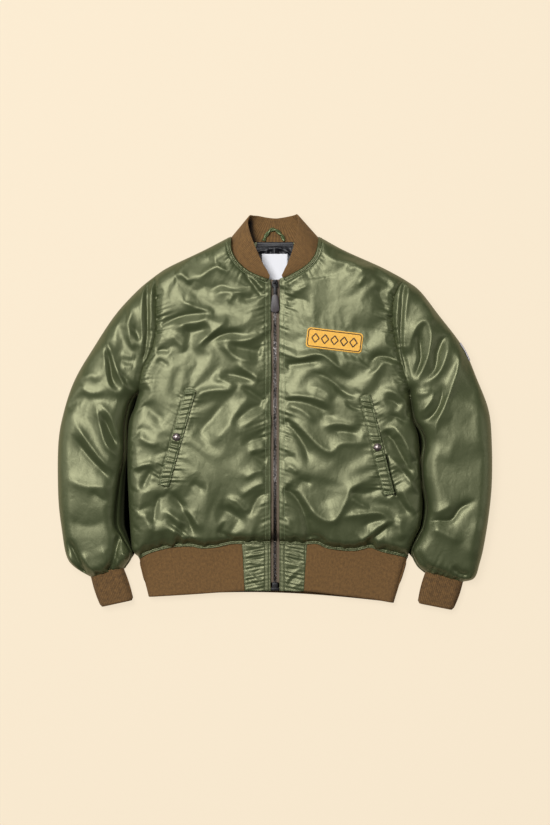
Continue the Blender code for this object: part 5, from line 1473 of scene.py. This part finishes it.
# Cast brass, blackened and rubbed paler in places.
TOOTH_PITCH = 2.6
TOOTH = Vector((4.4, 1.05, 2.2))
black_metal, metal_tree, metal_shader = finish(
    "blackened brass zip teeth", Base_Color=colour("3B3634"), Roughness=0.32, Metallic=1.0)
rub = node(metal_tree, "ShaderNodeTexNoise", {"Scale": 450.0, "Detail": 4.0},
           {"Vector": node(metal_tree, "ShaderNodeTexCoord").outputs["Object"]})
tone = node(metal_tree, "ShaderNodeValToRGB", links={"Fac": rub.outputs["Fac"]})
tone.color_ramp.elements[0].position = 0.42
tone.color_ramp.elements[0].color = colour("2E2C2B")
tone.color_ramp.elements[1].position = 0.72
tone.color_ramp.elements[1].color = colour("938D8A")
metal_tree.links.new(tone.outputs["Color"], metal_shader.inputs["Base Color"])
bm = bmesh.new()
for i, y in enumerate(np.arange(ZIP_FOOT + 17, 236, TOOTH_PITCH / 2)):
    side = 1 if i % 2 else -1
    lean = math.atan2(float(fly(y + 1) - fly(y - 1)), 2)
    place = Matrix.Translation(Vector((side * 1.5, y, float(fly(y)) + 0.55)) * MM)
    made = bmesh.ops.create_cube(bm, size=1.0)["verts"]
    bmesh.ops.scale(bm, vec=TOOTH * MM, verts=made)
    bmesh.ops.scale(bm, vec=(0.86, 0.75, 1.0), verts=[v for v in made if v.co.z > 0])
    bmesh.ops.transform(bm, matrix=place @ Matrix.Rotation(lean, 4, "X"), verts=made)
teeth = piece_from(bm, "zip_teeth", black_metal, smooth=False)
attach(teeth, "jacket")
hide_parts("zip_chain")


def eased_box(bm, size, centre, bevel, tilt=0.0):
    """Adds a block with rounded edges."""
    made = bmesh.ops.create_cube(bm, size=1.0)["verts"]
    bmesh.ops.scale(bm, vec=Vector(size) * MM, verts=made)
    sharp = list(dict.fromkeys(edge for vertex in made for edge in vertex.link_edges))
    grown = bmesh.ops.bevel(bm, geom=sharp, offset=bevel * MM, segments=3, profile=0.5,
                            affect="EDGES", material=-1)
    whole = list({v for f in grown["faces"] for v in f.verts} | {v for v in made if v.is_valid})
    place = Matrix.Translation(Vector(centre) * MM) @ Matrix.Rotation(tilt, 4, "X")
    bmesh.ops.transform(bm, matrix=place, verts=whole)
    return whole


# Black oxide over brass: a dull, nearly black coat with weak glints.
oxide = finish("black oxide zip slider and box", Base_Color=colour("0D0C0E"), Roughness=0.45,
               Metallic=0.1, Specular_IOR_Level=0.3)[0]
bm = bmesh.new()
foot = float(fly(ZIP_FOOT + 8))
eased_box(bm, (16.0, 6.0, 4.6), (0, ZIP_FOOT + 3, foot - 0.2), 1.0)
eased_box(bm, (12.0, 14.0, 4.2), (0, ZIP_FOOT + 9, foot - 0.2), 1.2)
eased_box(bm, (9.0, 1.4, 1.0), (0, ZIP_FOOT + 11, foot + 2.1), 0.4)
retainer = piece_from(bm, "zip_retainer", oxide)
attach(retainer, "jacket")
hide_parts("zip_box")

# The slider: two plates on a wedge, and a bridge over the pull's eye. It stays where the zip is shut.
PULL_AXIS = (0, 244.0, 53.2)
top = 50.2
low = float(fly(243.0))
bm = bmesh.new()
eased_box(bm, (4.6, 14.6, top - low + 1.0), (0, 242.5, (top + low) / 2 - 0.5), 0.5)
eased_box(bm, (11.0, 12.0, 1.9), (0, 241.5, top - 0.9), 0.8)
eased_box(bm, (8.0, 4.0, 1.9), (0, 248.5, top - 0.9), 0.8)
eased_box(bm, (11.0, 15.0, 1.4), (0, 242.5, low - 2.2), 0.6)
for side in (-1, 1):
    eased_box(bm, (1.2, 4.4, 4.6), (side * 2.9, 244.0, top + 1.9), 0.4)
bmesh.ops.create_cone(
    bm, cap_ends=True, segments=16, radius1=0.0009, radius2=0.0009, depth=0.0058,
    matrix=Matrix.Translation(Vector(PULL_AXIS) * MM) @ Matrix.Rotation(math.pi / 2, 4, "Y"))
slider = piece_from(bm, "zip_slider_body", oxide)
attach(slider, "jacket")
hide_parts("zip_slider")

# The pull: a metal link whose eye turns on the slider's bar, and a folded leather tab on its tongue.
DROOP = math.radians(1.5)
hang = Matrix.Translation(Vector(PULL_AXIS) * MM) @ Matrix.Rotation(DROOP, 4, "X")
bm = bmesh.new()
EYE_SECTION = [(-1.5, 1.5), (1.5, 1.5), (1.5, 2.7), (-1.5, 2.7)]
ring = [[bm.verts.new(Vector((x, r * math.cos(a), r * math.sin(a))) * MM) for x, r in EYE_SECTION]
        for a in np.linspace(0, 2 * math.pi, 24, endpoint=False)]
for i in range(len(ring)):
    for j in range(len(EYE_SECTION)):
        bm.faces.new((ring[i][j], ring[i][j - 1], ring[i - 1][j - 1], ring[i - 1][j]))
eased_box(bm, (3.0, 3.6, 1.2), (0, -4.2, 0), 0.3)
eased_box(bm, (6.0, 22.0, 1.4), (0, -16.4, 0), 0.5)
bmesh.ops.transform(bm, matrix=hang, verts=bm.verts)
bmesh.ops.recalc_face_normals(bm, faces=bm.faces)
link = piece_from(bm, "zip_pull_link", oxide)
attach(link, "zip_pull")
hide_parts("zip_link")

# Vegetable-tanned leather, nearly black, with a fine grain.
leather, leather_tree, leather_shader = finish(
    "dark brown leather", Base_Color=colour("2A2122"), Roughness=0.45)
pores = node(leather_tree, "ShaderNodeTexVoronoi", {"Scale": 1400.0},
             {"Vector": node(leather_tree, "ShaderNodeTexCoord").outputs["Object"]})
lift = node(leather_tree, "ShaderNodeBump", {"Strength": 0.35, "Distance": 0.0002},
            {"Height": pores.outputs["Distance"]})
leather_tree.links.new(lift.outputs["Normal"], leather_shader.inputs["Normal"])
TAB = (16.5, 35.0, 2.8)
TAB_START = 21.0
bm = bmesh.new()
bmesh.ops.create_cube(bm, size=1.0)
bmesh.ops.scale(bm, vec=Vector(TAB) * MM, verts=bm.verts)
upright = [e for e in bm.edges if abs((e.verts[0].co - e.verts[1].co).z) > 0.001]
bmesh.ops.bevel(bm, geom=upright, offset=0.0072, segments=7, profile=0.5, affect="EDGES", material=-1)
rims = [e for e in bm.edges if abs((e.verts[0].co - e.verts[1].co).z) < 0.0001]
bmesh.ops.bevel(bm, geom=rims, offset=0.0007, segments=3, profile=0.5, affect="EDGES", material=-1)
for vertex in bm.verts:
    down = 0.5 - vertex.co.y / (TAB[1] * MM)
    vertex.co.x *= 0.68 + 0.34 * float(eased(down / 0.7))
bmesh.ops.translate(bm, verts=bm.verts, vec=(0, -(TAB_START + TAB[1] / 2) * MM, 0))
bmesh.ops.transform(bm, matrix=hang, verts=bm.verts)
tab = piece_from(bm, "zip_pull_leather", leather)
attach(tab, "zip_pull")
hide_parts("zip_pull_tab")

# ---------------------------------------------------------------------------------------------
# Topstitching. Olive polyester thread, seven stitches to the inch, along the fronts' zip edges, the
# neck, and both long sides of each welt with bars at its ends.
STITCH = 3.2
BEAD = Vector((2.4, 0.9, 0.8))
thread_green = finish("olive sewing thread", Base_Color=colour("7C8660"), Roughness=0.6)[0]


def stitched(bm, line, heights):
    """Adds a row of stitches along a plan line, each a flat-topped bead on the cloth."""
    line = np.array(line, float)
    total = run_length(line)
    gone = np.arange(STITCH / 2, total, STITCH)
    places = along_run(line, gone / total)
    ahead = along_run(line, np.clip(gone + 1.0, 0, total) / total)
    for point, beyond, z, next_z in zip(places, ahead, heights(places), heights(ahead)):
        if np.isnan(z) or np.isnan(next_z):
            continue
        made = bmesh.ops.create_cube(bm, size=1.0)["verts"]
        bmesh.ops.scale(bm, vec=BEAD * MM, verts=made)
        bmesh.ops.scale(bm, vec=(0.7, 0.5, 1.0), verts=[v for v in made if v.co.z > 0])
        direction = Vector((*(beyond - point), next_z - z))
        turn = direction.to_track_quat("X", "Z").to_matrix().to_4x4()
        bmesh.ops.transform(bm, matrix=Matrix.Translation(Vector((*point, z)) * MM) @ turn, verts=made)


bm = bmesh.new()
for half, side in SIDES.items():
    for x in (10.8, 17.6):
        stitched(bm, [(side * x, -242), (side * x, 250)], FACE[half])
    neck = CURVES[half]["neck"]
    aside = leftward(unit(np.gradient(neck, axis=0)))
    aside *= np.sign(aside[:, :1]) * side
    for inset in (3.0, 8.5):
        stitched(bm, neck + aside * inset, FACE[half])
    top, along, aside, length = welt_frame(half)
    foot = top + along * length
    for offset in (WELT_STITCH - WELT_WIDTH / 2, WELT_WIDTH / 2 - WELT_STITCH):
        stitched(bm, [top + aside * offset + along * 2, foot + aside * offset - along * 2], WELT[half])
    for end, inwards in ((top, along), (foot, -along)):
        for bar in (2.0, 4.0, 6.5):
            place = end + inwards * bar
            stitched(bm, [place - aside * 8.4, place + aside * 8.4], WELT[half])
stitches = piece_from(bm, "topstitching", thread_green, smooth=False)
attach(stitches, "jacket")
